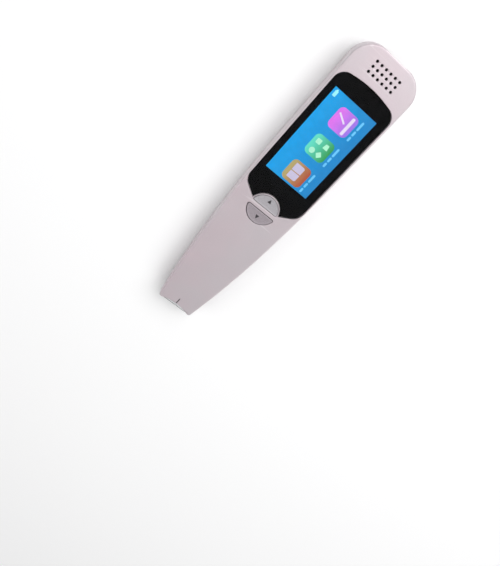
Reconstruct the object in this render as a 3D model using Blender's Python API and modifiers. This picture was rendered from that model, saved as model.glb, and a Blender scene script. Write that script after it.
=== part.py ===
"""Handheld scanning and reading pen, lying on its back.

X runs across the pen, Y from the scanning tip to the speaker end, and Z out of the screen.
The origin is under the middle of the pen, on the surface that it lies on. Units are metres.
"""

import math

import bmesh
import bpy
from mathutils import Matrix, Vector

MM = 0.001

# Overall sizes
HOUSING_LENGTH = 147.0 * MM
BODY_WIDTH = 32.0 * MM
BODY_THICK = 12.0 * MM
TIP_WIDTH = 18.2 * MM
NIB_PROUD = 0.5 * MM
TOP_Y = (HOUSING_LENGTH + NIB_PROUD) / 2
TIP_Y = TOP_Y - HOUSING_LENGTH

# How the body narrows and thins towards the tip
SHOULDER_FROM_TOP = 43.8 * MM
TAPER_POWER = 2.3
FRONT_SLOPE_LENGTH = 57.0 * MM
FRONT_DROP = 1.8 * MM
BACK_SLOPE_LENGTH = 42.0 * MM
BACK_RISE = 3.2 * MM
END_CORNER_R = 10.0 * MM
TIP_CORNER_R = 1.2 * MM
FRONT_EDGE_R = 0.6 * MM
BACK_EDGE_R = 4.5 * MM
LEAST_R = 0.2 * MM

# Walls, seam and the lip that locates one half in the other
SIDE_WALL = 1.5 * MM
TIP_WALL = 3.0 * MM
FRONT_WALL = 2.3 * MM
FLOOR_WALL = 1.4 * MM
SEAM_Z = 5.4 * MM
SEAM_GAP = 0.15 * MM
LIP_INSET = 0.8 * MM
LIP_CLEARANCE = 0.12 * MM
LIP_HEIGHT = 1.0 * MM
LAYER_GAP = 0.05 * MM
SEAT_GAP = 0.1 * MM
BURIED = 0.3 * MM
PAST = 1.0 * MM

# Cover glass and what lies under it
GLASS_MARGIN = 0.95 * MM
GLASS_TOP_CROWN = 13.4 * MM
GLASS_CROWN_RISE = 2.1 * MM
GLASS_CROWN_R = 50.0 * MM
GLASS_TOP_R = 5.5 * MM
GLASS_LOW_R = 6.0 * MM
GLASS_SIDE_END = 74.4 * MM
GLASS_LOW_SLOPE = 0.62
GLASS_CLEARANCE = 0.12 * MM
GLASS_THICK = 0.9 * MM
GLASS_SINK = 0.05 * MM
GLASS_EDGE = 0.12 * MM
FILM_THICK = 0.1 * MM
ADHESIVE_THICK = 0.15 * MM
ADHESIVE_MARGIN = 0.3 * MM

# Display: a 1.9 inch panel
SCREEN_FROM_TOP = 43.8 * MM
SCREEN_WIDTH = 22.7 * MM
SCREEN_LENGTH = 42.72 * MM
SCREEN_SHOWN = 0.1 * MM
LCD_SIDE_BORDER = 1.55 * MM
LCD_TOP_BORDER = 1.6 * MM
LCD_LOW_BORDER = 4.2 * MM
LCD_CLEARANCE = 0.3 * MM
LCD_FOLD = 1.3 * MM
CELL_THICK = 0.7 * MM
BACKLIGHT_THICK = 1.2 * MM
FRAME_THICK = 0.8 * MM
FRAME_BORDER = 2.2 * MM
FRAME_RIM = 0.9 * MM

# The pair of half-round buttons
BUTTONS_FROM_SCREEN = 37.05 * MM
BUTTON_HOLE_R = 6.95 * MM
BUTTON_BAR = 1.9 * MM
BUTTON_CORNER_R = 0.9 * MM
BUTTON_CLEARANCE = 0.22 * MM
BUTTON_RING = 0.45 * MM
BUTTON_PROUD = 0.35 * MM
BUTTON_EDGE = 0.2 * MM
BUTTON_FLANGE = 0.6 * MM
BUTTON_FLANGE_THICK = 0.5 * MM
BUTTON_TRAVEL = 0.4 * MM
ARROW_WIDTH = 1.6 * MM
ARROW_LENGTH = 1.8 * MM
ARROW_DEPTH = 0.25 * MM
ARROW_FROM_MIDDLE = 4.4 * MM

# Tact switches
SWITCH_SIDE = 4.5 * MM
SWITCH_HEIGHT = 1.5 * MM
SWITCH_FROM_MIDDLE = 3.9 * MM
PLUNGER_R = 0.8 * MM
PLUNGER_PROUD = 0.65 * MM
PLUNGER_BURIED = 0.6 * MM
PLUNGER_CLEARANCE = 0.12 * MM

# Side power button
POWER_LENGTH = 9.0 * MM
POWER_HEIGHT = 2.2 * MM
POWER_PROUD = 0.4 * MM
POWER_FLANGE = 0.45 * MM
POWER_FLANGE_THICK = 0.6 * MM
POWER_FROM_BUTTONS = 4.0 * MM
POWER_FROM_FACE = 3.95 * MM
POWER_SWITCH_LENGTH = 3.0 * MM
POWER_SWITCH_DEPTH = 2.2 * MM
POWER_FLANGE_SUNK = 0.3 * MM

# Speaker end
GRILLE_FROM_TOP = 7.8 * MM
GRILLE_PITCH = 2.45 * MM
GRILLE_COLUMNS = 6
GRILLE_ROWS = 3
GRILLE_HOLE_R = 0.62 * MM
GRILLE_WALL = 1.2 * MM
SPEAKER_WIDTH = 15.0 * MM
SPEAKER_LENGTH = 11.0 * MM
SPEAKER_THICK = 2.3 * MM
SPEAKER_CORNER_R = 1.5 * MM
SPEAKER_CLEARANCE = 0.3 * MM
MESH_THICK = 0.15 * MM
SCOOP_DEPTH = 0.3 * MM
SCOOP_HALF = 5.5 * MM
PORT_WIDTH = 8.94 * MM
PORT_HEIGHT = 3.16 * MM
PORT_LENGTH = 7.3 * MM
PORT_WALL = 0.3 * MM
PORT_RECESS = 0.8 * MM
PORT_CLEARANCE = 0.25 * MM
TONGUE_WIDTH = 6.7 * MM
TONGUE_THICK = 0.7 * MM
TONGUE_SHORT = 0.6 * MM
MIC_HOLE_R = 0.4 * MM
MIC_SIZE = Vector((2.65, 3.5, 1.1)) * MM
MIC_FROM_MIDDLE = 6.2 * MM

# Circuit boards
BOARD_THICK = 1.0 * MM
BOARD_MARGIN = 1.0 * MM
MAIN_BOARD_FROM_TIP = 32.0 * MM
MAIN_BOARD_PAST_BUTTONS = 9.2 * MM
PROCESSOR_SIZE = Vector((11.0, 11.0, 1.0)) * MM
PROCESSOR_FROM_START = 12.5 * MM
SHIELD_SIZE = Vector((14.0, 12.0, 1.6)) * MM
SHIELD_FROM_START = 8.5 * MM
MEMORY_SIZE = Vector((9.0, 7.0, 0.9)) * MM
MEMORY_FROM_START = 19.5 * MM
RADIO_SIZE = Vector((10.0, 6.5, 1.5)) * MM
RADIO_FROM_START = 27.5 * MM
CONNECTOR_SIZE = Vector((9.0, 2.0, 0.8)) * MM
TOP_BOARD_WIDTH = 15.4 * MM
TOP_BOARD_LENGTH = 13.5 * MM
TOP_BOARD_GAP = 1.0 * MM

# Battery
BATTERY_WIDTH = 24.0 * MM
BATTERY_LENGTH = 46.0 * MM
BATTERY_FROM_TOP = 19.5 * MM
BATTERY_CORNER_R = 1.5 * MM
BATTERY_GAP = 0.3 * MM
BATTERY_BOARD_LENGTH = 2.6 * MM
BATTERY_BOARD_THICK = 2.0 * MM
RIB_HALF = 3.0 * MM
LEAD_R = 0.4 * MM
LEAD_X = 4.2 * MM
LEAD_UNDER_BOARD = 1.5 * MM

# Screws and their bosses
BOSS_R = 1.9 * MM
SCREW_R = 0.8 * MM
SCREW_HEAD_R = 1.45 * MM
SCREW_HEAD_THICK = 0.9 * MM
SCREW_CLEARANCE = 0.12 * MM
HEAD_DEPTH = 1.5 * MM
CASE_SCREW_LENGTH = 6.0 * MM
TOP_BOSS_X = 10.2 * MM
TOP_BOSS_FROM_TOP = 10.0 * MM
LOW_BOSS_X = 6.0 * MM
LOW_BOSS_FROM_TIP = 29.0 * MM
BOARD_BOSS_X = 10.6 * MM
BOARD_BOSS_R = 1.6 * MM
BOARD_SCREW_R = 0.6 * MM
BOARD_HEAD_R = 1.1 * MM
BOARD_HEAD_THICK = 0.6 * MM
BOARD_SCREW_DEPTH = 1.8 * MM
DRIVE_SLOT = 0.4 * MM
DRIVE_REACH_SHARE = 0.6
DRIVE_DEPTH = 0.4 * MM

# Scanning tip
ARCH_DEPTH = 1.7 * MM
ARCH_FROM_SIDE = 1.3 * MM
ARCH_HALF = TIP_WIDTH / 2 - ARCH_FROM_SIDE
MARK_WIDTH = 0.5 * MM
MARK_LENGTH = 3.4 * MM
MARK_DEPTH = 0.2 * MM
NIB_FROM_SIDE = 2.0 * MM
NIB_WIDTH = TIP_WIDTH - 2 * NIB_FROM_SIDE
NIB_HEIGHT = 4.0 * MM
NIB_WALL = 0.8 * MM
NIB_LENGTH = 11.4 * MM
NIB_CORNER_R = 1.0 * MM
NIB_CLEARANCE = 0.2 * MM
NIB_FLANGE = 1.2 * MM
NIB_FLANGE_RISE = 0.25 * MM
NIB_FLANGE_DROP = 0.6 * MM
NIB_FLANGE_THICK = 1.0 * MM
NIB_TRAVEL = 0.5 * MM
NIB_STOP_THICK = 0.9 * MM
SPRING_BESIDE_NIB = 0.2 * MM
SPRING_X = NIB_WIDTH / 2 + SPRING_BESIDE_NIB
SPRING_LENGTH = 4.2 * MM
SPRING_R = 0.8 * MM
SPRING_WIRE_R = 0.15 * MM
SPRING_TURNS = 4.5
SEAT_HALF = 1.1 * MM
SEAT_THICK = 1.0 * MM
NIB_SWITCH_WIDTH = 4.0 * MM
NIB_SWITCH_LENGTH = 2.6 * MM
NIB_SWITCH_HEIGHT = 1.2 * MM
NIB_PLUNGER_R = 0.35 * MM
NIB_PLUNGER_PROUD = 1.3 * MM
CAMERA_BOARD_IN_NIB = 1.6 * MM
CAMERA_BOARD_WIDTH = NIB_WIDTH - 2 * CAMERA_BOARD_IN_NIB
CAMERA_BOARD_FROM_TIP = 12.4 * MM
CAMERA_BOARD_LENGTH = 13.8 * MM
CAMERA_BOARD_THICK = 0.8 * MM
CAMERA_BOARD_BELOW_AXIS = 2.75 * MM
CAMERA_WIDTH = 8.0 * MM
CAMERA_LENGTH = 4.0 * MM
CAMERA_FROM_TIP = 21.6 * MM
CAMERA_HALF_HEIGHT = 2.1 * MM
BARREL_R = 1.6 * MM
BARREL_LENGTH = 2.0 * MM
BARREL_WALL = 0.4 * MM
LENS_SINK = 0.3 * MM
LENS_THICK = 0.6 * MM
TUNNEL_LENGTH = 6.2 * MM
TUNNEL_SMALL = Vector((4.4, 3.4, 0.0)) * MM
TUNNEL_IN_NIB = 1.8 * MM
TUNNEL_LARGE = Vector((NIB_WIDTH - 2 * TUNNEL_IN_NIB, 2.6 * MM, 0.0))
TUNNEL_WALL = 0.4 * MM
LED_SIZE = Vector((1.1, 2.0, 0.8)) * MM
LED_IN_NIB = 2.3 * MM
LED_X = NIB_WIDTH / 2 - LED_IN_NIB
RIBBON_THICK = 0.15 * MM

# How finely round shapes are drawn, and the angle over which an edge stays sharp
SMOOTH_ANGLE = math.radians(30)
CORNER_STEPS = 6
END_STEPS = 9
TIP_STEPS = 3
SIDE_STEPS = 18
CROWN_STEPS = 8
BACK_EDGE_STEPS = 4
FRONT_EDGE_STEPS = 2
HOLE_SIDES = 12
BOSS_SIDES = 16
RING_SIDES = 48
COIL_STEPS = 10
PATH_STEPS = 8

# Places that several pieces share
SHOULDER_Y = TOP_Y - SHOULDER_FROM_TOP
SCREEN_Y = TOP_Y - SCREEN_FROM_TOP
BUTTON_Y = SCREEN_Y - BUTTONS_FROM_SCREEN
GRILLE_Y = TOP_Y - GRILLE_FROM_TOP
CEILING_Z = BODY_THICK - FRONT_WALL
GLASS_TOP = BODY_THICK - GLASS_SINK
GLASS_LOW = GLASS_TOP - GLASS_THICK
FILM_TOP = GLASS_LOW - LAYER_GAP
FILM_LOW = FILM_TOP - FILM_THICK
ADHESIVE_TOP = FILM_LOW - LAYER_GAP
ADHESIVE_LOW = ADHESIVE_TOP - ADHESIVE_THICK
POCKET_Z = ADHESIVE_LOW - LAYER_GAP
CELL_TOP = FILM_LOW - LAYER_GAP
CELL_LOW = CELL_TOP - CELL_THICK
BACKLIGHT_TOP = CELL_LOW - LAYER_GAP
BACKLIGHT_LOW = BACKLIGHT_TOP - BACKLIGHT_THICK
FRAME_TOP = BACKLIGHT_LOW - SEAT_GAP
FRAME_LOW = FRAME_TOP - FRAME_THICK
NOTCH_R = BUTTON_HOLE_R + BUTTON_RING
FLANGE_TOP = CEILING_Z - SEAT_GAP
BUTTON_LOW = FLANGE_TOP - BUTTON_FLANGE_THICK
MAIN_TOP = BUTTON_LOW - LAYER_GAP - PLUNGER_PROUD - SWITCH_HEIGHT - LAYER_GAP
MAIN_LOW = MAIN_TOP - BOARD_THICK
MAIN_START_Y = TIP_Y + MAIN_BOARD_FROM_TIP
MAIN_END_Y = BUTTON_Y + MAIN_BOARD_PAST_BUTTONS
POWER_Y = BUTTON_Y + POWER_FROM_BUTTONS
POWER_Z = BODY_THICK - POWER_FROM_FACE
LCD_LOW_Y = SCREEN_Y - SCREEN_LENGTH / 2 - LCD_LOW_BORDER
LCD_TOP_Y = SCREEN_Y + SCREEN_LENGTH / 2 + LCD_TOP_BORDER
LCD_HALF = SCREEN_WIDTH / 2 + LCD_SIDE_BORDER
PORT_Y = TOP_Y - PORT_RECESS
TOP_BOARD_TOP = SEAM_Z - PORT_HEIGHT / 2 - LAYER_GAP
TOP_BOARD_END = TOP_Y - SIDE_WALL - TOP_BOARD_GAP
BATTERY_TOP_Y = TOP_Y - BATTERY_FROM_TOP
BATTERY_LOW_Y = BATTERY_TOP_Y - BATTERY_LENGTH
NIB_END_Y = TIP_Y - NIB_PROUD
NIB_BACK_Y = NIB_END_Y + NIB_LENGTH
CAMERA_BOARD_Y = TIP_Y + CAMERA_BOARD_FROM_TIP
CAMERA_Y = TIP_Y + CAMERA_FROM_TIP

FINISHES = {
    "body_paint": ((0.78, 0.71, 0.75), 0.42, 0.15),
    "button_paint": ((0.62, 0.60, 0.63), 0.38, 0.25),
    "cover_glass": ((0.90, 0.95, 1.00), 0.03, 0.0),
    "black_film": ((0.010, 0.010, 0.012), 0.30, 0.0),
    "black_plastic": ((0.03, 0.03, 0.03), 0.55, 0.0),
    "clear_plastic": ((0.85, 0.88, 0.90), 0.08, 0.0),
    "white_plastic": ((0.85, 0.85, 0.83), 0.50, 0.0),
    "display": ((0.04, 0.35, 0.85), 0.15, 0.0),
    "circuit_board": ((0.02, 0.16, 0.07), 0.45, 0.0),
    "chip": ((0.05, 0.05, 0.055), 0.40, 0.0),
    "steel": ((0.62, 0.62, 0.63), 0.28, 1.0),
    "spring_steel": ((0.55, 0.55, 0.57), 0.25, 1.0),
    "battery_foil": ((0.70, 0.71, 0.73), 0.35, 0.6),
    "ribbon": ((0.55, 0.28, 0.06), 0.40, 0.0),
    "red_wire": ((0.60, 0.03, 0.03), 0.45, 0.0),
    "black_wire": ((0.02, 0.02, 0.02), 0.45, 0.0),
    "phosphor": ((0.90, 0.80, 0.25), 0.35, 0.0),
}


# ---------------------------------------------------------------- scene and materials


def clear_scene():
    for obj in list(bpy.data.objects):
        bpy.data.objects.remove(obj, do_unlink=True)


def make_collection(name):
    collection = bpy.data.collections.new(name)
    bpy.context.scene.collection.children.link(collection)
    return collection


def make_material(name):
    colour, roughness, metallic = FINISHES[name]
    material = bpy.data.materials.new(name)
    material.use_nodes = True
    shader = material.node_tree.nodes["Principled BSDF"]
    shader.inputs["Base Color"].default_value = (*colour, 1.0)
    shader.inputs["Roughness"].default_value = roughness
    shader.inputs["Metallic"].default_value = metallic
    return material


clear_scene()
PARTS = make_collection("scanning_pen")
CUTTERS = make_collection("cutters")
MATERIALS = {name: make_material(name) for name in FINISHES}


def add_object(name, mesh, finish=None, origin=None):
    """A part with its finish, or a hidden cutter when there is none. Its origin is moved to a point."""
    obj = bpy.data.objects.new(name, mesh)
    if origin:
        mesh.transform(Matrix.Translation(-Vector(origin)))
        obj.location = origin
    mesh.shade_smooth()
    mesh.set_sharp_from_angle(angle=SMOOTH_ANGLE)
    if finish:
        mesh.materials.clear()
        mesh.materials.append(MATERIALS[finish])
        PARTS.objects.link(obj)
    else:
        CUTTERS.objects.link(obj)
        obj.hide_render = True
        obj.display_type = "WIRE"
    return obj


def apply_boolean(obj, other, operation):
    modifier = obj.modifiers.new(f"{operation.lower()} {other.name}", "BOOLEAN")
    modifier.operation = operation
    modifier.solver = "EXACT"
    modifier.object = other
    return obj


def cut(obj, *cutters):
    for cutter in cutters:
        apply_boolean(obj, cutter, "DIFFERENCE")
    return obj


def join(obj, *others):
    for other in others:
        apply_boolean(obj, other, "UNION")
    return obj


# ---------------------------------------------------------------- flat outlines


def arc(centre, radius, start, end, steps):
    """Points from one angle to another, in degrees, both ends included."""
    angles = [math.radians(start + (end - start) * i / steps) for i in range(steps + 1)]
    return [(centre[0] + radius * math.cos(a), centre[1] + radius * math.sin(a)) for a in angles]


def mirrored(right):
    """A right half that runs from the lower middle to the upper middle, and its mirror image."""
    return right + [(-x, *rest) for x, *rest in reversed(right)]


def quarter_round(radius, steps):
    """Pairs of inset and depth down a rounded edge, from its face to its side."""
    angles = [math.pi / 2 * i / steps for i in range(steps + 1)]
    return [(radius * (1 - math.sin(a)), radius * (1 - math.cos(a))) for a in angles]


def rounded_outline(corners, inset=0.0, steps=CORNER_STEPS):
    """The closed outline through corners of (x, y, radius), anticlockwise, moved in by inset."""
    points = [Vector(corner[:2]) for corner in corners]
    count = len(points)
    sides = []
    for i in range(count):
        along = (points[(i + 1) % count] - points[i]).normalized()
        inward = Vector((-along.y, along.x))
        sides.append((points[i] + inward * inset, along))
    outline = []
    for i in range(count):
        start, before = sides[i - 1]
        end, after = sides[i]
        turn = before.cross(after)
        corner = start + before * ((end - start).cross(after) / turn)
        half_angle = math.atan2(turn, before.dot(after)) / 2
        radius = max(corners[i][2] - math.copysign(inset, turn), LEAST_R)
        reach = radius * math.tan(abs(half_angle))
        inward = (after - before).normalized()
        centre = corner + inward * math.hypot(reach, radius)
        first = corner - before * reach - centre
        for step in range(steps + 1):
            outline.append(centre + Matrix.Rotation(2 * half_angle * step / steps, 2) @ first)
    return [tuple(point) for point in outline]


def rectangle(width, length, radius, middle=(0.0, 0.0), inset=0.0):
    x, y = width / 2, length / 2
    corners = [(x, -y), (x, y), (-x, y), (-x, -y)]
    placed = [(middle[0] + a, middle[1] + b, radius) for a, b in corners]
    return rounded_outline(placed, inset)


def glass_outline(inset=0.0):
    """The cover glass before its round notch: crowned at the top, a shallow V at the bottom."""
    side = BODY_WIDTH / 2 - GLASS_MARGIN
    crown = TOP_Y - GLASS_TOP_CROWN
    low = TOP_Y - GLASS_SIDE_END
    right = [
        (side, low, GLASS_LOW_R),
        (side, crown - GLASS_CROWN_RISE, GLASS_TOP_R),
    ]
    left = [(-x, y, radius) for x, y, radius in reversed(right)]
    point = (0.0, low - GLASS_LOW_SLOPE * side, LEAST_R)
    top = (0.0, crown, GLASS_CROWN_R)
    return rounded_outline([point, *right, top, *left], inset, CROWN_STEPS)


def half_round_outline(inset=0.0):
    """The upper button's hole about the pair's middle: a chord above the bar, its corners rounded."""
    radius = BUTTON_HOLE_R - inset
    chord = BUTTON_BAR / 2 + inset
    corner = max(BUTTON_CORNER_R - inset, LEAST_R)
    centre = (math.sqrt((radius - corner) ** 2 - (chord + corner) ** 2), chord + corner)
    lean = math.degrees(math.atan2(centre[1], centre[0]))
    right = arc(centre, corner, -90, lean, CORNER_STEPS // 2)
    return mirrored(right + arc((0.0, 0.0), radius, lean, 90, 2 * CORNER_STEPS)[1:-1])


def half_width(y):
    """Half the body's width: full above the shoulder, then narrowing ever faster to the tip."""
    run = max(0.0, (SHOULDER_Y - y) / (SHOULDER_Y - TIP_Y))
    return BODY_WIDTH / 2 - (BODY_WIDTH - TIP_WIDTH) / 2 * run**TAPER_POWER


def body_outline(inset=0.0, tip_inset=None):
    """The body seen from the front, moved in by inset, always with the same number of points."""
    tip = TIP_Y + (inset if tip_inset is None else tip_inset)
    top = TOP_Y - inset
    tip_radius = max(TIP_CORNER_R - inset, LEAST_R)
    top_radius = max(END_CORNER_R - inset, LEAST_R)
    low, high = tip + tip_radius, top - top_radius
    right = arc((half_width(low) - inset - tip_radius, low), tip_radius, -90, 0, TIP_STEPS)
    for i in range(1, SIDE_STEPS):
        y = low + (high - low) * i / SIDE_STEPS
        right.append((half_width(y) - inset, y))
    right += arc((BODY_WIDTH / 2 - inset - top_radius, high), top_radius, 0, 90, END_STEPS)
    return mirrored(right)


def scoop_outline(edge_y, depth, half_chord, outward):
    """A shallow circular bite into an end of the body, closed well outside it."""
    radius = (half_chord**2 + depth**2) / (2 * depth)
    middle = edge_y + outward * (radius - depth)
    reach = math.degrees(math.asin((half_chord + PAST) / radius))
    points = arc((0.0, middle), radius, -outward * 90 - reach, -outward * 90 + reach, 2 * CORNER_STEPS)
    far = edge_y + outward * PAST * 3
    return points + [(points[-1][0], far), (points[0][0], far)]


# ---------------------------------------------------------------- solids


def plate(name, outlines, low, high, finish=None):
    """Flat outlines, the inner ones as holes, as a filled 2D curve with thickness, made a mesh."""
    curve = bpy.data.curves.new(name, "CURVE")
    curve.dimensions = "2D"
    curve.fill_mode = "BOTH"
    curve.extrude = (high - low) / 2
    for outline in outlines:
        spline = curve.splines.new("POLY")
        spline.points.add(len(outline) - 1)
        for point, (x, y) in zip(spline.points, outline):
            point.co = (x, y, 0.0, 1.0)
        spline.use_cyclic_u = True
    source = bpy.data.objects.new(name + "_curve", curve)
    source.location.z = (low + high) / 2
    bpy.context.scene.collection.objects.link(source)
    graph = bpy.context.evaluated_depsgraph_get()
    mesh = bpy.data.meshes.new_from_object(source.evaluated_get(graph))
    mesh.transform(source.matrix_basis)
    bpy.data.objects.remove(source)
    bpy.data.curves.remove(curve)
    shape = bmesh.new()
    shape.from_mesh(mesh)
    bmesh.ops.remove_doubles(shape, verts=shape.verts, dist=1e-6)
    bmesh.ops.dissolve_limit(shape, angle_limit=math.radians(0.5), verts=shape.verts, edges=shape.edges)
    bmesh.ops.recalc_face_normals(shape, faces=shape.faces)
    shape.to_mesh(mesh)
    shape.free()
    mesh.name = name
    return add_object(name, mesh, finish)


def box(name, low, high, finish=None):
    """A block between two opposite corners."""
    low, high = Vector(low), Vector(high)
    mesh = bpy.data.meshes.new(name)
    shape = bmesh.new()
    bmesh.ops.create_cube(shape, size=1.0, matrix=Matrix.Diagonal((*(high - low), 1.0)))
    shape.to_mesh(mesh)
    shape.free()
    obj = add_object(name, mesh, finish)
    obj.location = (low + high) / 2
    return obj


def rod(name, radius, start, end, finish=None, sides=HOLE_SIDES):
    """A cylinder from one point to another."""
    start, end = Vector(start), Vector(end)
    along = end - start
    mesh = bpy.data.meshes.new(name)
    shape = bmesh.new()
    bmesh.ops.create_cone(
        shape,
        cap_ends=True,
        segments=sides,
        radius1=radius,
        radius2=radius,
        depth=along.length,
    )
    shape.to_mesh(mesh)
    shape.free()
    obj = add_object(name, mesh, finish)
    obj.location = (start + end) / 2
    obj.rotation_euler = along.to_track_quat("Z", "Y").to_euler()
    return obj


def loft(name, rings, finish=None, ladder=False, origin=None):
    """A solid through rings of (x, y, z) points. Its ends are flat faces, or rungs from side to side."""
    mesh = bpy.data.meshes.new(name)
    shape = bmesh.new()
    loops = [[shape.verts.new(point) for point in ring] for ring in rings]
    count = len(loops[0])
    for lower, upper in zip(loops, loops[1:]):
        for i in range(count):
            j = (i + 1) % count
            shape.faces.new((lower[i], lower[j], upper[j], upper[i]))
    for end in (loops[0], loops[-1]):
        if ladder:
            for i in range(count // 2 - 1):
                shape.faces.new((end[i], end[i + 1], end[-i - 2], end[-i - 1]))
        else:
            shape.faces.new(end)
    bmesh.ops.recalc_face_normals(shape, faces=shape.faces)
    shape.to_mesh(mesh)
    shape.free()
    return add_object(name, mesh, finish, origin)


def at(outline, z):
    return [(x, y, z) for x, y in outline]


def standing(outline, y):
    """An outline drawn in X and Z, placed at y."""
    return [(x, y, z) for x, z in outline]


def strip(name, path, half_wide, finish):
    """A ribbon of even width along a path in the YZ plane: an open surface with Solidify."""
    mesh = bpy.data.meshes.new(name)
    shape = bmesh.new()
    pairs = [[shape.verts.new((x, y, z)) for x in (-half_wide, half_wide)] for y, z in path]
    for first, second in zip(pairs, pairs[1:]):
        shape.faces.new((*first, *reversed(second)))
    shape.to_mesh(mesh)
    shape.free()
    obj = add_object(name, mesh, finish)
    thick = obj.modifiers.new("thickness", "SOLIDIFY")
    thick.thickness = RIBBON_THICK
    thick.offset = 0.0
    thick.use_even_offset = True
    return obj


def wire(name, points, radius, finish, resolution):
    """A round wire through points, with closed ends."""
    curve = bpy.data.curves.new(name, "CURVE")
    curve.dimensions = "3D"
    curve.bevel_depth = radius
    curve.bevel_resolution = resolution
    curve.use_fill_caps = True
    spline = curve.splines.new("POLY")
    spline.points.add(len(points) - 1)
    for point, place in zip(spline.points, points):
        point.co = (*place, 1.0)
    obj = bpy.data.objects.new(name, curve)
    curve.materials.append(MATERIALS[finish])
    PARTS.objects.link(obj)
    return obj


def smooth_path(start, start_handle, end_handle, end, steps):
    """Points along one cubic curve, both ends included."""
    points = []
    for i in range(steps + 1):
        t = i / steps
        weights = ((1 - t) ** 3, 3 * t * (1 - t) ** 2, 3 * t * t * (1 - t), t**3)
        handles = (start, start_handle, end_handle, end)
        points.append(tuple(sum(w * h[k] for w, h in zip(weights, handles)) for k in range(len(start))))
    return points


# ---------------------------------------------------------------- the body's thickness along its length


def front_z(y):
    run = max(0.0, 1 - (y - TIP_Y) / FRONT_SLOPE_LENGTH)
    return BODY_THICK - FRONT_DROP * run**2


def back_z(y):
    run = max(0.0, 1 - (y - TIP_Y) / BACK_SLOPE_LENGTH)
    return BACK_RISE * run**2


def level(y, z):
    """The height at y of what is at height z where the body has its full thickness."""
    return back_z(y) + z / BODY_THICK * (front_z(y) - back_z(y))


def body_ring(inset, z, tip_inset=None):
    return [(x, y, level(y, z)) for x, y in body_outline(inset, tip_inset)]


AXIS_Z = (level(TIP_Y, FLOOR_WALL) + level(TIP_Y, CEILING_Z)) / 2
CAMERA_BOARD_TOP = AXIS_Z - CAMERA_BOARD_BELOW_AXIS


# ---------------------------------------------------------------- front housing


def button_middle(way):
    """Turns an outline about the pair's middle into the upper button's place, or the lower one's."""
    return lambda outline: [(way * x, BUTTON_Y + way * y) for x, y in outline]


def display_outline(grow, low=LCD_LOW_Y, top=LCD_TOP_Y):
    """The display module's rectangle, or one that starts and ends elsewhere, moved out by grow."""
    return rectangle(2 * LCD_HALF, top - low, LEAST_R, (0.0, (top + low) / 2), -grow)


def display_window(grow):
    """The opening for the display, longer than it at the lower edge for its folded ribbon."""
    return display_outline(grow, LCD_LOW_Y - LCD_FOLD)


def pocket_cutter():
    pocket = plate("glass_pocket", [glass_outline(-GLASS_CLEARANCE)], POCKET_Z, BODY_THICK + PAST)
    middle = (0.0, BUTTON_Y)
    ring = rod(
        "button_ring",
        NOTCH_R,
        (*middle, POCKET_Z - PAST),
        (*middle, BODY_THICK + 2 * PAST),
        sides=RING_SIDES,
    )
    return cut(pocket, ring)


def grille_cutters():
    holes = []
    for column in range(GRILLE_COLUMNS):
        for row in range(GRILLE_ROWS):
            x = (column - (GRILLE_COLUMNS - 1) / 2) * GRILLE_PITCH
            y = GRILLE_Y + (row - (GRILLE_ROWS - 1) / 2) * GRILLE_PITCH
            name = f"grille_hole_{column}_{row}"
            holes.append(rod(name, GRILLE_HOLE_R, (x, y, CEILING_Z), (x, y, BODY_THICK + PAST)))
    return holes


def port_cutter():
    hole = rectangle(
        PORT_WIDTH + 2 * PORT_CLEARANCE,
        PORT_HEIGHT + 2 * PORT_CLEARANCE,
        PORT_HEIGHT / 2,
        (0.0, SEAM_Z),
    )
    return loft("port_hole", [standing(hole, TOP_Y - PORT_LENGTH), standing(hole, TOP_Y + PAST)])


def nib_cutter():
    hole = rectangle(NIB_WIDTH, NIB_HEIGHT, NIB_CORNER_R, (0.0, AXIS_Z), -NIB_CLEARANCE)
    return loft("nib_hole", [standing(hole, TIP_Y - PAST), standing(hole, TIP_Y + TIP_WALL + PAST)])


def power_outline(grow):
    """The side button's pill, in Y and Z."""
    return rectangle(
        POWER_LENGTH + 2 * grow, POWER_HEIGHT + 2 * grow, POWER_HEIGHT / 2 + grow, (POWER_Y, POWER_Z)
    )


def sideways(outline, x):
    return [(x, y, z) for y, z in outline]


def boss_places():
    """Where the four case screws stand, upper pair first."""
    upper = [(side * TOP_BOSS_X, TOP_Y - TOP_BOSS_FROM_TOP) for side in (-1, 1)]
    lower = [(side * LOW_BOSS_X, TIP_Y + LOW_BOSS_FROM_TIP) for side in (-1, 1)]
    return upper + lower


def case_boss_meet(y):
    """The height where a front boss stops and the rear boss below it begins."""
    return level(y, SEAM_Z)


def screw_seat(y):
    return level(y, 0.0) + HEAD_DEPTH


def front_bosses():
    bosses, holes = [], []
    for number, (x, y) in enumerate(boss_places(), 1):
        low = case_boss_meet(y) + SEAM_GAP
        top = level(y, CEILING_Z) + BURIED
        tip = screw_seat(y) + CASE_SCREW_LENGTH + SEAT_GAP
        bosses.append(rod(f"front_boss_{number}", BOSS_R, (x, y, low), (x, y, top), sides=BOSS_SIDES))
        hole_r = SCREW_R + SCREW_CLEARANCE
        holes.append(rod(f"front_boss_hole_{number}", hole_r, (x, y, low - PAST), (x, y, tip)))
    for side, x in (("left", -BOARD_BOSS_X), ("right", BOARD_BOSS_X)):
        low = MAIN_TOP + LAYER_GAP
        bosses.append(
            rod(
                f"board_boss_{side}",
                BOARD_BOSS_R,
                (x, BUTTON_Y, low),
                (x, BUTTON_Y, CEILING_Z + BURIED),
                sides=BOSS_SIDES,
            )
        )
        hole_r = BOARD_SCREW_R + SCREW_CLEARANCE
        tip = low + BOARD_SCREW_DEPTH + SEAT_GAP
        holes.append(rod(f"board_boss_hole_{side}", hole_r, (x, BUTTON_Y, low - PAST), (x, BUTTON_Y, tip)))
    return bosses, holes


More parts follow.
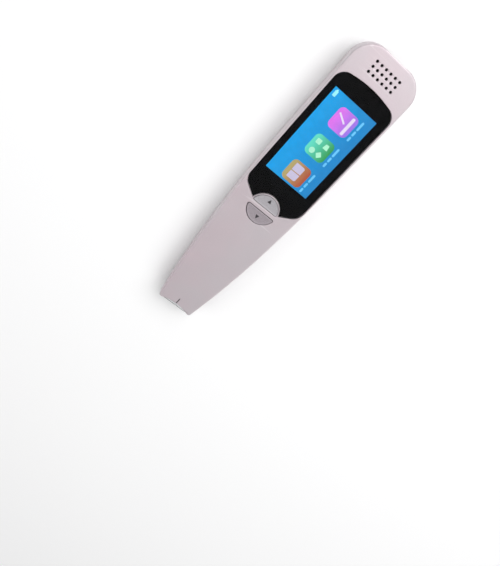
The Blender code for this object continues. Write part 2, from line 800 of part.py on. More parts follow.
def nib_stops():
    """Two ribs that keep the nib's flange from leaving through the tip."""
    back = NIB_BACK_Y - NIB_FLANGE_THICK - SEAT_GAP
    front = back - NIB_STOP_THICK
    inner = NIB_WIDTH / 2 + NIB_CLEARANCE
    outer = half_width(front) - SIDE_WALL - SEAT_GAP
    low = AXIS_Z - NIB_HEIGHT / 4
    high = level(front, CEILING_Z) + BURIED
    left = box("nib_stop_left", (-outer, front, low), (-inner, back, high))
    right = box("nib_stop_right", (inner, front, low), (outer, back, high))
    return [left, right]


def make_front_housing():
    seam = SEAM_Z + SEAM_GAP / 2
    groove = SEAM_Z + LIP_HEIGHT + SEAM_GAP
    rings = []
    for inset, depth in quarter_round(FRONT_EDGE_R, FRONT_EDGE_STEPS):
        rings.append(body_ring(inset, BODY_THICK - depth))
    rings += [
        body_ring(0.0, seam),
        body_ring(LIP_INSET, seam),
        body_ring(LIP_INSET, groove),
        body_ring(SIDE_WALL, groove, TIP_WALL),
        body_ring(SIDE_WALL, CEILING_Z, TIP_WALL),
    ]
    housing = loft("front_housing", rings, "body_paint", ladder=True)
    bosses, boss_holes = front_bosses()
    join(housing, *bosses, *nib_stops())
    speaker_bay = rectangle(
        SPEAKER_WIDTH, SPEAKER_LENGTH, SPEAKER_CORNER_R, (0.0, GRILLE_Y), -SPEAKER_CLEARANCE
    )
    cut(
        housing,
        pocket_cutter(),
        plate("display_window", [display_window(LCD_CLEARANCE)], CEILING_Z - PAST, BODY_THICK),
        plate("speaker_bay", [speaker_bay], CEILING_Z - PAST, BODY_THICK - GRILLE_WALL),
    )
    for name, way in (("upper_button_hole", 1), ("lower_button_hole", -1)):
        hole = button_middle(way)(half_round_outline())
        cut(housing, plate(name, [hole], CEILING_Z - PAST, BODY_THICK + PAST))
    slot = power_outline(BUTTON_CLEARANCE)
    side = half_width(POWER_Y)
    cut(
        housing,
        *grille_cutters(),
        *boss_holes,
        loft("power_slot", [sideways(slot, side - 3 * SIDE_WALL / 2), sideways(slot, side + PAST)]),
        loft(
            "power_flange_bay",
            [
                sideways(power_outline(POWER_FLANGE + BUTTON_CLEARANCE), side - 2 * SIDE_WALL),
                sideways(power_outline(POWER_FLANGE + BUTTON_CLEARANCE), power_inner_face() + SEAT_GAP),
            ],
        ),
    )
    mark_low = TIP_Y - PAST
    mark_high = TIP_Y + ARCH_DEPTH + MARK_LENGTH
    mark_z = front_z(mark_high) - MARK_DEPTH
    cut(
        housing,
        box("pointer_mark", (-MARK_WIDTH / 2, mark_low, mark_z), (MARK_WIDTH / 2, mark_high, mark_z + PAST)),
    )
    return housing


def power_inner_face():
    """The inner face of the side wall behind the power button's flange recess."""
    return half_width(POWER_Y + POWER_LENGTH / 2) - SIDE_WALL + POWER_FLANGE_SUNK


# ---------------------------------------------------------------- rear housing


def make_rear_housing():
    seam = SEAM_Z - SEAM_GAP / 2
    lip_inset = LIP_INSET + LIP_CLEARANCE
    inner_r = BACK_EDGE_R - SIDE_WALL
    rings = []
    for inset, height in quarter_round(BACK_EDGE_R, BACK_EDGE_STEPS):
        rings.append(body_ring(inset, height))
    rings += [
        body_ring(0.0, seam),
        body_ring(lip_inset, seam),
        body_ring(lip_inset, SEAM_Z + LIP_HEIGHT),
        body_ring(SIDE_WALL, SEAM_Z + LIP_HEIGHT, TIP_WALL),
    ]
    for inset, height in reversed(quarter_round(inner_r, BACK_EDGE_STEPS)):
        rings.append(body_ring(SIDE_WALL + inset, FLOOR_WALL + height, TIP_WALL + inset))
    housing = loft("rear_housing", rings, "body_paint", ladder=True)
    holes = []
    for number, (x, y) in enumerate(boss_places(), 1):
        floor = level(y, FLOOR_WALL) - BURIED
        top = case_boss_meet(y)
        seat = screw_seat(y)
        join(housing, rod(f"rear_boss_{number}", BOSS_R, (x, y, floor), (x, y, top), sides=BOSS_SIDES))
        hole_r = SCREW_R + SCREW_CLEARANCE
        head_r = SCREW_HEAD_R + SCREW_CLEARANCE
        holes.append(rod(f"rear_boss_hole_{number}", hole_r, (x, y, 0.0), (x, y, top + PAST)))
        holes.append(rod(f"head_hole_{number}", head_r, (x, y, -PAST), (x, y, seat), sides=BOSS_SIDES))
    join(housing, *spring_seats(), *board_posts(), *battery_ribs())
    mic = (-MIC_FROM_MIDDLE, TOP_BOARD_TOP + MIC_SIZE.z / 2)
    mic_ends = [(mic[0], y, mic[1]) for y in (TOP_Y - 2 * SIDE_WALL, TOP_Y + PAST)]
    cut(housing, *holes, rod("mic_hole", MIC_HOLE_R, *mic_ends))
    return housing


def spring_seats():
    """Posts that the nib's two springs push against."""
    seats = []
    front = NIB_BACK_Y + SEAT_GAP + SPRING_LENGTH + SEAT_GAP
    for side in (-1, 1):
        x = side * SPRING_X
        low = level(front, FLOOR_WALL) - BURIED
        high = AXIS_Z + SPRING_R
        ends = (x - SEAT_HALF, front, low), (x + SEAT_HALF, front + SEAT_THICK, high)
        seats.append(box(f"spring_seat_{side}", *ends))
    return seats


def board_posts():
    """Posts under the top board and the camera board."""
    posts = []
    low = FLOOR_WALL - BURIED
    high = TOP_BOARD_TOP - BOARD_THICK - LAYER_GAP
    for side in (-1, 1):
        x, y = side * TOP_BOARD_WIDTH / 3, TOP_BOARD_END - TOP_BOARD_LENGTH / 2
        posts.append(rod(f"top_board_post_{side}", BOSS_R / 2, (x, y, low), (x, y, high)))
    camera_low = CAMERA_BOARD_TOP - CAMERA_BOARD_THICK - LAYER_GAP
    y = CAMERA_BOARD_Y + CAMERA_BOARD_LENGTH * 2 / 3
    for side in (-1, 1):
        x = side * CAMERA_BOARD_WIDTH / 4
        posts.append(
            rod(f"camera_post_{side}", BOSS_R / 2, (x, y, level(y, FLOOR_WALL) - BURIED), (x, y, camera_low))
        )
    return posts


def battery_ribs():
    """Low ribs at both ends of the battery and its protection board."""
    low = FLOOR_WALL - BURIED
    top = FLOOR_WALL + BATTERY_BOARD_THICK
    first = BATTERY_LOW_Y - BATTERY_BOARD_LENGTH - 2 * BATTERY_GAP - SEAT_THICK
    last = BATTERY_TOP_Y + BATTERY_GAP
    return [
        box("battery_rib_low", (-RIB_HALF, first, low), (RIB_HALF, first + SEAT_THICK, top)),
        box("battery_rib_top", (-RIB_HALF, last, low), (RIB_HALF, last + SEAT_THICK, top)),
    ]


def cut_both_halves(front, rear):
    """Openings that run through the seam: charging port, end scoop, nib opening and tip arch."""
    through = (-PAST, BODY_THICK + PAST)
    cut(rear, port_cutter())
    shared = [
        bpy.data.objects["port_hole"],
        plate("end_scoop", [scoop_outline(TOP_Y, SCOOP_DEPTH, SCOOP_HALF, 1)], *through),
        plate("tip_arch", [scoop_outline(TIP_Y, ARCH_DEPTH, ARCH_HALF, -1)], *through),
        nib_cutter(),
    ]
    cut(front, *shared)
    cut(rear, *shared[1:])


# ---------------------------------------------------------------- glass, display and frame


def notch_cutter(name, grow, low, high):
    middle = (0.0, BUTTON_Y)
    return rod(name, NOTCH_R + grow, (*middle, low - PAST), (*middle, high + PAST), sides=RING_SIDES)


def shown_window(grow):
    return rectangle(SCREEN_WIDTH, SCREEN_LENGTH, LEAST_R, (0.0, SCREEN_Y), -grow)


def make_glass_stack():
    glass = loft(
        "cover_glass",
        [
            at(glass_outline(), GLASS_LOW),
            at(glass_outline(), GLASS_TOP - GLASS_EDGE),
            at(glass_outline(GLASS_EDGE), GLASS_TOP),
        ],
        "cover_glass",
    )
    cut(glass, notch_cutter("glass_notch", GLASS_CLEARANCE, GLASS_LOW, GLASS_TOP))
    film_outlines = [glass_outline(GLASS_EDGE), shown_window(SCREEN_SHOWN)]
    film = plate("border_film", film_outlines, FILM_LOW, FILM_TOP, "black_film")
    cut(film, notch_cutter("film_notch", 2 * GLASS_CLEARANCE, FILM_LOW, FILM_TOP))
    adhesive = plate(
        "glass_adhesive",
        [glass_outline(ADHESIVE_MARGIN), display_window(2 * LCD_CLEARANCE)],
        ADHESIVE_LOW,
        ADHESIVE_TOP,
        "black_plastic",
    )
    cut(adhesive, notch_cutter("adhesive_notch", ADHESIVE_MARGIN, ADHESIVE_LOW, ADHESIVE_TOP))


def make_display():
    plate("lcd_cell", [display_outline(0.0)], CELL_LOW, CELL_TOP, "display")
    plate("lcd_backlight", [display_outline(0.0)], BACKLIGHT_LOW, BACKLIGHT_TOP, "white_plastic")


def make_mid_frame():
    """A tray under the display with a rim on three sides; its lower end is open for the ribbon."""
    low = LCD_LOW_Y + SEAT_GAP
    outer = display_outline(LCD_CLEARANCE + FRAME_RIM, low + LCD_CLEARANCE + FRAME_RIM)
    opening = display_outline(-FRAME_BORDER, low)
    frame = plate("mid_frame", [outer, opening], FRAME_LOW, CEILING_Z - SEAT_GAP, "black_plastic")
    bay = display_outline(LCD_CLEARANCE, low - PAST)
    return cut(frame, plate("mid_frame_bay", [bay], FRAME_TOP, CEILING_Z))


def make_lcd_ribbon():
    """Folds from the display's lower edge back to its connector on the main board."""
    top = (CELL_LOW + CELL_TOP) / 2
    low = MAIN_TOP + CONNECTOR_SIZE.z + 2 * LAYER_GAP + RIBBON_THICK
    start = (LCD_LOW_Y - SEAT_GAP, top)
    end = (MAIN_END_Y - CONNECTOR_SIZE.y / 2, low)
    path = smooth_path(start, (LCD_LOW_Y - LCD_FOLD, top), (LCD_LOW_Y, low), end, PATH_STEPS)
    return strip("lcd_ribbon", path, CONNECTOR_SIZE.x / 2, "ribbon")


# ---------------------------------------------------------------- buttons and switches


def make_round_button(name, way):
    """A half-round cap with a chamfered edge, a flange below the wall and an arrow sunk in its top."""
    place = button_middle(way)
    top = BODY_THICK + BUTTON_PROUD
    layers = [
        (-BUTTON_FLANGE, BUTTON_LOW),
        (-BUTTON_FLANGE, FLANGE_TOP),
        (BUTTON_CLEARANCE, FLANGE_TOP),
        (BUTTON_CLEARANCE, top - BUTTON_EDGE),
        (BUTTON_CLEARANCE + BUTTON_EDGE, top),
    ]
    rings = [at(place(half_round_outline(inset)), z) for inset, z in layers]
    button = loft(name, rings, "button_paint", origin=(0.0, BUTTON_Y + way * SWITCH_FROM_MIDDLE, top))
    tip = ARROW_FROM_MIDDLE + ARROW_LENGTH / 2
    foot = ARROW_FROM_MIDDLE - ARROW_LENGTH / 2
    corners = [(-ARROW_WIDTH / 2, foot), (ARROW_WIDTH / 2, foot), (0.0, tip)]
    arrow = plate(name + "_arrow", [place(corners)], top - ARROW_DEPTH, top + PAST)
    return cut(button, arrow)


def make_switch(name, middle, size, axis, travel):
    """A box with a blind hole on one side, and the plunger that slides in it."""
    middle, axis = Vector(middle), Vector(axis)
    size = Vector(size)
    body = box(name, middle - size / 2, middle + size / 2, "chip")
    face = middle + Vector(s * a / 2 for s, a in zip(size, axis))
    radius = min(PLUNGER_R, min(s for s, a in zip(size, axis) if not a) / 2 - 2 * PLUNGER_CLEARANCE)
    depth = PLUNGER_BURIED + travel + SEAT_GAP
    hole = rod(name + "_hole", radius + PLUNGER_CLEARANCE, face - axis * depth, face + axis * PAST)
    cut(body, hole)
    return face, radius


def make_face_switches():
    size = (SWITCH_SIDE, SWITCH_SIDE, SWITCH_HEIGHT)
    for name, way in (("upper_switch", 1), ("lower_switch", -1)):
        middle = (0.0, BUTTON_Y + way * SWITCH_FROM_MIDDLE, MAIN_TOP + LAYER_GAP + SWITCH_HEIGHT / 2)
        face, radius = make_switch(name, middle, size, (0.0, 0.0, 1.0), BUTTON_TRAVEL)
        low = face - Vector((0.0, 0.0, PLUNGER_BURIED))
        high = face + Vector((0.0, 0.0, PLUNGER_PROUD))
        rod(name + "_plunger", radius, low, high, "black_plastic")


def make_power_button():
    """A pill through the side wall, with a flange inside it."""
    side = half_width(POWER_Y)
    flange = power_inner_face()
    inner = flange - POWER_FLANGE_THICK
    rings = [
        sideways(power_outline(POWER_FLANGE), inner),
        sideways(power_outline(POWER_FLANGE), flange),
        sideways(power_outline(0.0), flange),
        sideways(power_outline(0.0), side + POWER_PROUD - BUTTON_EDGE),
        sideways(power_outline(-BUTTON_EDGE), side + POWER_PROUD),
    ]
    loft("power_button", rings, "button_paint", origin=(side + POWER_PROUD, POWER_Y, POWER_Z))
    height = 2 * (POWER_Z - MAIN_TOP - LAYER_GAP)
    face_x = inner - LAYER_GAP - PLUNGER_PROUD
    middle = (face_x - POWER_SWITCH_DEPTH / 2, POWER_Y, POWER_Z)
    size = (POWER_SWITCH_DEPTH, POWER_SWITCH_LENGTH, height)
    face, radius = make_switch("power_switch", middle, size, (1.0, 0.0, 0.0), BUTTON_TRAVEL)
    inner_end = face - Vector((PLUNGER_BURIED, 0.0, 0.0))
    outer_end = face + Vector((PLUNGER_PROUD, 0.0, 0.0))
    rod("power_switch_plunger", radius, inner_end, outer_end, "black_plastic")


# ---------------------------------------------------------------- boards and chips


def make_main_board():
    """Follows the housing's sides, with clear holes for its two screws."""
    inset = SIDE_WALL + BOARD_MARGIN
    sides = [y for x, y in body_outline(inset) if x > 0 and MAIN_START_Y < y < MAIN_END_Y]
    levels = [MAIN_START_Y, *sides, MAIN_END_Y]
    right = [(half_width(y) - inset, y) for y in levels]
    board = plate("main_board", [mirrored(right)], MAIN_LOW, MAIN_TOP, "circuit_board")
    for side in (-1, 1):
        x = side * BOARD_BOSS_X
        ends = (x, BUTTON_Y, MAIN_LOW - PAST), (x, BUTTON_Y, MAIN_TOP + PAST)
        cut(board, rod(f"board_hole_{side}", BOARD_SCREW_R + SCREW_CLEARANCE, *ends))
    return board


def chip(name, size, y, on_top, finish):
    """A flat package in the middle of the main board's top or underside."""
    z = MAIN_TOP + LAYER_GAP if on_top else MAIN_LOW - LAYER_GAP - size.z
    return box(name, (-size.x / 2, y - size.y / 2, z), (size.x / 2, y + size.y / 2, z + size.z), finish)


def make_main_board_parts():
    chip("processor", PROCESSOR_SIZE, MAIN_START_Y + PROCESSOR_FROM_START, True, "chip")
    chip("shield_can", SHIELD_SIZE, MAIN_START_Y + SHIELD_FROM_START, False, "steel")
    chip("memory_chip", MEMORY_SIZE, MAIN_START_Y + MEMORY_FROM_START, False, "chip")
    chip("radio_module", RADIO_SIZE, MAIN_START_Y + RADIO_FROM_START, False, "steel")
    connector_y = MAIN_END_Y - CONNECTOR_SIZE.y / 2
    chip("lcd_connector", CONNECTOR_SIZE, connector_y, True, "white_plastic")


def make_top_end():
    """The small board at the speaker end, with the charging port, microphone, speaker and antenna."""
    end = TOP_BOARD_END
    half = TOP_BOARD_WIDTH / 2
    start = end - TOP_BOARD_LENGTH
    low = TOP_BOARD_TOP - BOARD_THICK
    box("top_board", (-half, start, low), (half, end, TOP_BOARD_TOP), "circuit_board")
    middle = (0.0, SEAM_Z)
    outer = rectangle(PORT_WIDTH, PORT_HEIGHT, PORT_HEIGHT / 2 - LEAST_R, middle)
    inner = rectangle(PORT_WIDTH, PORT_HEIGHT, PORT_HEIGHT / 2 - LEAST_R, middle, PORT_WALL)
    back = PORT_Y - PORT_LENGTH
    loft(
        "usb_shell",
        [
            standing(outer, back),
            standing(outer, PORT_Y),
            standing(inner, PORT_Y),
            standing(inner, back + PORT_WALL),
        ],
        "steel",
    )
    tongue = TONGUE_WIDTH / 2, TONGUE_THICK / 2
    box(
        "usb_tongue",
        (-tongue[0], back + PORT_WALL + LAYER_GAP, SEAM_Z - tongue[1]),
        (tongue[0], PORT_Y - TONGUE_SHORT, SEAM_Z + tongue[1]),
        "black_plastic",
    )
    mic_low = Vector((-MIC_FROM_MIDDLE - MIC_SIZE.x / 2, end - MIC_SIZE.y, TOP_BOARD_TOP + LAYER_GAP))
    box("microphone", mic_low, mic_low + MIC_SIZE, "steel")
    mesh_top = BODY_THICK - GRILLE_WALL - LAYER_GAP
    speaker = rectangle(SPEAKER_WIDTH, SPEAKER_LENGTH, SPEAKER_CORNER_R, (0.0, GRILLE_Y))
    plate("speaker_mesh", [speaker], mesh_top - MESH_THICK, mesh_top, "black_plastic")
    speaker_top = mesh_top - MESH_THICK - LAYER_GAP
    plate("speaker", [speaker], speaker_top - SPEAKER_THICK, speaker_top, "black_plastic")


def make_battery():
    top = FRAME_LOW - BATTERY_GAP
    low = FLOOR_WALL + BATTERY_GAP
    middle = (0.0, (BATTERY_LOW_Y + BATTERY_TOP_Y) / 2)
    outline = rectangle(BATTERY_WIDTH, BATTERY_LENGTH, BATTERY_CORNER_R, middle)
    plate("battery", [outline], low, top, "battery_foil")
    half = BATTERY_WIDTH / 3
    end = BATTERY_LOW_Y - BATTERY_GAP
    start = end - BATTERY_BOARD_LENGTH
    board_top = low + BATTERY_BOARD_THICK
    box("battery_board", (-half, start, low), (half, end, board_top), "circuit_board")
    for name, x, finish in (("positive", LEAD_X, "red_wire"), ("negative", -LEAD_X, "black_wire")):
        first = (x, start - SEAT_GAP, board_top - LEAD_R)
        last_y = MAIN_END_Y - LEAD_UNDER_BOARD
        last = (x, last_y, MAIN_LOW - LAYER_GAP)
        bend = (x, last_y, first[2])
        points = smooth_path(first, bend, bend, last, PATH_STEPS)
        wire(f"battery_lead_{name}", points, LEAD_R, finish, 1)


# ---------------------------------------------------------------- scanning tip


def make_nib():
    """A clear sleeve that the page is seen through. It slides in when the tip is pressed down."""
    middle = (0.0, AXIS_Z)
    sleeve = rectangle(NIB_WIDTH, NIB_HEIGHT, NIB_CORNER_R, middle)
    bore = rectangle(NIB_WIDTH, NIB_HEIGHT, NIB_CORNER_R, middle, NIB_WALL)
    lift = (NIB_FLANGE_RISE - NIB_FLANGE_DROP) / 2
    flange = rectangle(
        NIB_WIDTH + 2 * NIB_FLANGE,
        NIB_HEIGHT + NIB_FLANGE_RISE + NIB_FLANGE_DROP,
        NIB_CORNER_R,
        (0.0, AXIS_Z + lift),
    )
    shoulder = NIB_BACK_Y - NIB_FLANGE_THICK
    rings = [
        standing(bore, NIB_END_Y),
        standing(sleeve, NIB_END_Y),
        standing(sleeve, shoulder),
        standing(flange, shoulder),
        standing(flange, NIB_BACK_Y),
        standing(bore, NIB_BACK_Y),
    ]
    return tube_loft("nib", rings, "clear_plastic", (0.0, NIB_END_Y, AXIS_Z))


def tube_loft(name, rings, finish, origin=None):
    """A loft whose last ring joins its first, so that it is open along its middle."""
    mesh = bpy.data.meshes.new(name)
    shape = bmesh.new()
    loops = [[shape.verts.new(point) for point in ring] for ring in rings]
    count = len(loops[0])
    for lower, upper in zip(loops, loops[1:] + loops[:1]):
        for i in range(count):
            j = (i + 1) % count
            shape.faces.new((lower[i], lower[j], upper[j], upper[i]))
    bmesh.ops.recalc_face_normals(shape, faces=shape.faces)
    shape.to_mesh(mesh)
    shape.free()
    return add_object(name, mesh, finish, origin)


def make_nib_springs():
    start = NIB_BACK_Y + SEAT_GAP + SPRING_WIRE_R
    length = SPRING_LENGTH - 2 * SPRING_WIRE_R
    count = int(SPRING_TURNS * COIL_STEPS)
    for side, x in (("left", -SPRING_X), ("right", SPRING_X)):
        points = []
        for i in range(count + 1):
            a = 2 * math.pi * i / COIL_STEPS
            coil = SPRING_R - SPRING_WIRE_R
            points.append((x + coil * math.cos(a), start + length * i / count, AXIS_Z + coil * math.sin(a)))
        wire(f"nib_spring_{side}", points, SPRING_WIRE_R, "spring_steel", 0)


def make_camera():
    """The board in the nose with its camera, lamps and the switch behind the nib."""
    half = CAMERA_BOARD_WIDTH / 2
    end = CAMERA_BOARD_Y + CAMERA_BOARD_LENGTH
    low = CAMERA_BOARD_TOP - CAMERA_BOARD_THICK
    box("camera_board", (-half, CAMERA_BOARD_Y, low), (half, end, CAMERA_BOARD_TOP), "circuit_board")
    seat = CAMERA_BOARD_TOP + LAYER_GAP
    box(
        "camera_module",
        (-CAMERA_WIDTH / 2, CAMERA_Y, seat),
        (CAMERA_WIDTH / 2, CAMERA_Y + CAMERA_LENGTH, AXIS_Z + CAMERA_HALF_HEIGHT),
        "black_plastic",
    )
    barrel_back = CAMERA_Y - LAYER_GAP
    barrel_front = barrel_back - BARREL_LENGTH
    barrel_ends = (0.0, barrel_front, AXIS_Z), (0.0, barrel_back, AXIS_Z)
    barrel = rod("lens_barrel", BARREL_R, *barrel_ends, "black_plastic", BOSS_SIDES)
    bore = BARREL_R - BARREL_WALL
    bore_ends = (0.0, barrel_front - PAST, AXIS_Z), (0.0, barrel_back - BARREL_WALL, AXIS_Z)
    cut(barrel, rod("barrel_bore", bore, *bore_ends, sides=BOSS_SIDES))
    lens_front = barrel_front + LENS_SINK
    lens_ends = (0.0, lens_front, AXIS_Z), (0.0, lens_front + LENS_THICK, AXIS_Z)
    rod("lens", bore - SEAT_GAP, *lens_ends, "cover_glass", BOSS_SIDES)
    led_y = barrel_front - LED_SIZE.y
    for side, x in (("left", -LED_X), ("right", LED_X)):
        corner = Vector((x - LED_SIZE.x / 2, led_y, seat))
        box(f"led_{side}", corner, corner + LED_SIZE, "phosphor")
    make_light_tunnel(barrel_front - SEAT_GAP)
    switch_front = NIB_BACK_Y + LAYER_GAP + NIB_PLUNGER_PROUD
    middle = (0.0, switch_front + NIB_SWITCH_LENGTH / 2, seat + NIB_SWITCH_HEIGHT / 2)
    size = (NIB_SWITCH_WIDTH, NIB_SWITCH_LENGTH, NIB_SWITCH_HEIGHT)
    body = box("nib_switch", Vector(middle) - Vector(size) / 2, Vector(middle) + Vector(size) / 2, "chip")
    depth = PLUNGER_BURIED + NIB_TRAVEL + SEAT_GAP
    hole_ends = (0.0, switch_front - PAST, middle[2]), (0.0, switch_front + depth, middle[2])
    cut(body, rod("nib_switch_hole", NIB_PLUNGER_R + SEAT_GAP, *hole_ends))
    plunger_ends = (0.0, NIB_BACK_Y + LAYER_GAP, middle[2]), (0.0, switch_front + PLUNGER_BURIED, middle[2])
    rod("nib_switch_plunger", NIB_PLUNGER_R, *plunger_ends, "black_plastic")


def make_light_tunnel(back):
    """A black hood that widens from the lens towards the nib."""
    front = back - TUNNEL_LENGTH
    rings = []
    for size, y, inset in (
        (TUNNEL_SMALL, back, 0.0),
        (TUNNEL_LARGE, front, 0.0),
        (TUNNEL_LARGE, front, TUNNEL_WALL),
        (TUNNEL_SMALL, back, TUNNEL_WALL),
    ):
        outline = rectangle(size.x, size.y, LEAST_R + TUNNEL_WALL, (0.0, AXIS_Z), inset)
        rings.append(standing(outline, y))
    return tube_loft("light_tunnel", rings, "black_plastic")


def make_camera_ribbon():
    """From the camera board back and up to the main board's underside."""
    end = CAMERA_BOARD_Y + CAMERA_BOARD_LENGTH
    low = CAMERA_BOARD_TOP - CAMERA_BOARD_THICK / 2
    high = MAIN_LOW + BOARD_THICK / 2
    middle = (end + MAIN_START_Y) / 2
    first, last = (end + SEAT_GAP, low), (MAIN_START_Y - SEAT_GAP, high)
    path = smooth_path(first, (middle, low), (middle, high), last, PATH_STEPS)
    return strip("camera_ribbon", path, CAMERA_WIDTH / 4, "ribbon")


# ---------------------------------------------------------------- screws and antenna


def make_screw(name, x, y, seat, length, radius, head_r, head_thick):
    """A pan head below its seat, a plain shank above it, and a cross drive in the head."""
    screw = rod(name, head_r, (x, y, seat - head_thick), (x, y, seat), "steel", BOSS_SIDES)
    shank = rod(name + "_shank", radius, (x, y, seat - head_thick / 2), (x, y, seat + length))
    join(screw, shank)
    low = seat - head_thick
    reach = head_r * DRIVE_REACH_SHARE
    for turn, (a, b) in enumerate(((reach, DRIVE_SLOT / 2), (DRIVE_SLOT / 2, reach))):
        slot = box(f"{name}_drive_{turn}", (x - a, y - b, low - PAST), (x + a, y + b, low + DRIVE_DEPTH))
        cut(screw, slot)
    return screw


def make_screws():
    for number, (x, y) in enumerate(boss_places(), 1):
        seat = screw_seat(y) - LAYER_GAP
        make_screw(
            f"case_screw_{number}", x, y, seat, CASE_SCREW_LENGTH, SCREW_R, SCREW_HEAD_R, SCREW_HEAD_THICK
        )
    for side, x in (("left", -BOARD_BOSS_X), ("right", BOARD_BOSS_X)):
        length = BOARD_THICK + BOARD_SCREW_DEPTH
        make_screw(
            f"board_screw_{side}",
            x,
            BUTTON_Y,
            MAIN_LOW - LAYER_GAP,
            length,
            BOARD_SCREW_R,
            BOARD_HEAD_R,
            BOARD_HEAD_THICK,
        )


def make_antenna():
    """A flexible aerial stuck to the rear housing's floor."""
    low = FLOOR_WALL + LAYER_GAP
    half = TOP_BOARD_WIDTH / 4
    start = TOP_BOARD_END - TOP_BOARD_LENGTH
    end = TOP_BOARD_END - TOP_BOARD_LENGTH * 2 / 3
    box("antenna", (-half, start, low), (half, end, low + RIBBON_THICK), "ribbon")


def make_pen():
    front = make_front_housing()
    rear = make_rear_housing()
    cut_both_halves(front, rear)
    make_glass_stack()
    make_display()
    make_mid_frame()
    make_lcd_ribbon()
    make_round_button("upper_button", 1)
    make_round_button("lower_button", -1)
    make_face_switches()
    make_power_button()
    make_main_board()
    make_main_board_parts()
    make_top_end()
    make_battery()
    make_nib()
    make_nib_springs()
    make_camera()
    make_camera_ribbon()
    make_screws()
    make_antenna()


make_pen()
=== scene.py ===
"""Looks of a handheld scanning and reading pen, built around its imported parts.

X runs across the pen, Y from the scanning tip to the speaker end, and Z out of the screen.
"""

import math

import bmesh
import bpy
from mathutils import Matrix, Vector


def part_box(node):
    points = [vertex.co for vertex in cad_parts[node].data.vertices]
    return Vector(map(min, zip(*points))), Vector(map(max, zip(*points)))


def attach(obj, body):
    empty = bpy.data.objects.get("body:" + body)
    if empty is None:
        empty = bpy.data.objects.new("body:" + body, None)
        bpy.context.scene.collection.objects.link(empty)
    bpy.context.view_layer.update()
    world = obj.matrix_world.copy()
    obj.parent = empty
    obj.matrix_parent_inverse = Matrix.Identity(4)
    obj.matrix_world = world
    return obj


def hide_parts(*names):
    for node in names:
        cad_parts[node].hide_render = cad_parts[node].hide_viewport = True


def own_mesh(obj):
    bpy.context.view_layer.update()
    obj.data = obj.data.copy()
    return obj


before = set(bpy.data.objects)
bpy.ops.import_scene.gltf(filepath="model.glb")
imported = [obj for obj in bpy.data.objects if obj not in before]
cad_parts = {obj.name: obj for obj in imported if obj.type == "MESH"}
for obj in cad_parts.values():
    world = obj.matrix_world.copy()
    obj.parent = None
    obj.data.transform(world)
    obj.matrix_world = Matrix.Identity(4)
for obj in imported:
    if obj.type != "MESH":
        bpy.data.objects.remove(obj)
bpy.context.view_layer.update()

MM = 0.001

# Overall sizes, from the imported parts
FRONT_LOW, FRONT_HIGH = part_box("front_housing")
GLASS_BOX_LOW, GLASS_BOX_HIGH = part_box("cover_glass")
FILM_BOX_LOW, FILM_BOX_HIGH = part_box("border_film")
CELL_BOX_LOW, CELL_BOX_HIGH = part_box("lcd_cell")
UPPER_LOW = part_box("upper_button")[0]
LOWER_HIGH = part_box("lower_button")[1]
POWER_LOW, POWER_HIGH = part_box("power_button")
NIB_LOW, NIB_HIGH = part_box("nib")
PORT_LOW, PORT_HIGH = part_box("usb_shell")
TONGUE_LOW, TONGUE_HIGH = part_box("usb_tongue")
SPEAKER_LOW, SPEAKER_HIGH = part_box("speaker")
BODY_WIDTH = FRONT_HIGH.x - FRONT_LOW.x
BODY_THICK = FRONT_HIGH.z
TOP_Y = FRONT_HIGH.y
TIP_Y = FRONT_LOW.y

# The body's shape
TIP_WIDTH = 18.2 * MM
SHOULDER_Y = TOP_Y - 43.8 * MM
TAPER_POWER = 2.3
FRONT_SLOPE_LENGTH = 57.0 * MM
FRONT_DROP = 1.8 * MM
BACK_SLOPE_LENGTH = 42.0 * MM
BACK_RISE = 3.2 * MM
END_CORNER_R = 10.0 * MM
TIP_CORNER_R = 1.2 * MM
FRONT_EDGE_R = 0.6 * MM
BACK_EDGE_R = 4.5 * MM
SIDE_WALL = 1.5 * MM
TIP_WALL = 3.0 * MM
FLOOR_WALL = 1.4 * MM
CEILING_Z = BODY_THICK - 2.3 * MM
SEAM_Z = 5.4 * MM
SEAM_GAP = 0.15 * MM
SEAM_BREAK = 0.1 * MM
LIP_INSET = 0.8 * MM
LIP_CLEARANCE = 0.12 * MM
LIP_HEIGHT = 1.0 * MM
LIP_ROUND = 0.12 * MM
FLAT_RIM = 0.4 * MM

# How far cutters run past, joined pieces sink in and faces keep apart, and the sharpest corner
PAST = 1.0 * MM
BURIED = 0.2 * MM
SKIN = 0.02 * MM
LEAST_R = 0.1 * MM
MERGE_WITHIN = 0.001 * MM

# Cover glass. Its crown is drawn higher by what the rounding takes off
GLASS_SIDE = GLASS_BOX_HIGH.x
GLASS_CROWN_CUT = 0.48 * MM
GLASS_CROWN_Y = GLASS_BOX_HIGH.y + GLASS_CROWN_CUT
GLASS_CROWN_RISE = 2.1 * MM + GLASS_CROWN_CUT
GLASS_CROWN_R = 50.0 * MM
GLASS_TOP_R = 5.5 * MM
GLASS_LOW_R = 6.0 * MM
GLASS_LOW_Y = TOP_Y - 74.4 * MM
GLASS_LOW_SLOPE = 0.62
GLASS_CLEARANCE = 0.05 * MM
GLASS_EDGE = 0.12 * MM
POCKET_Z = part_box("glass_adhesive")[0].z - GLASS_CLEARANCE

# Screen
SCREEN_WIDTH = 22.7 * MM
SCREEN_LENGTH = 42.72 * MM
SCREEN_SHOWN = 0.1 * MM
CELL_CLEARANCE = 0.3 * MM
CELL_CORNER_R = 0.5 * MM
RIBBON_ROOM = 1.6 * MM
SCREEN_X = -0.4 * MM
CELL_TOP_EDGE = 1.6 * MM
SCREEN_Y = CELL_BOX_HIGH.y - CELL_TOP_EDGE - SCREEN_LENGTH / 2
PICTURE_Z = CELL_BOX_HIGH.z + SKIN
LAYER = 0.03 * MM

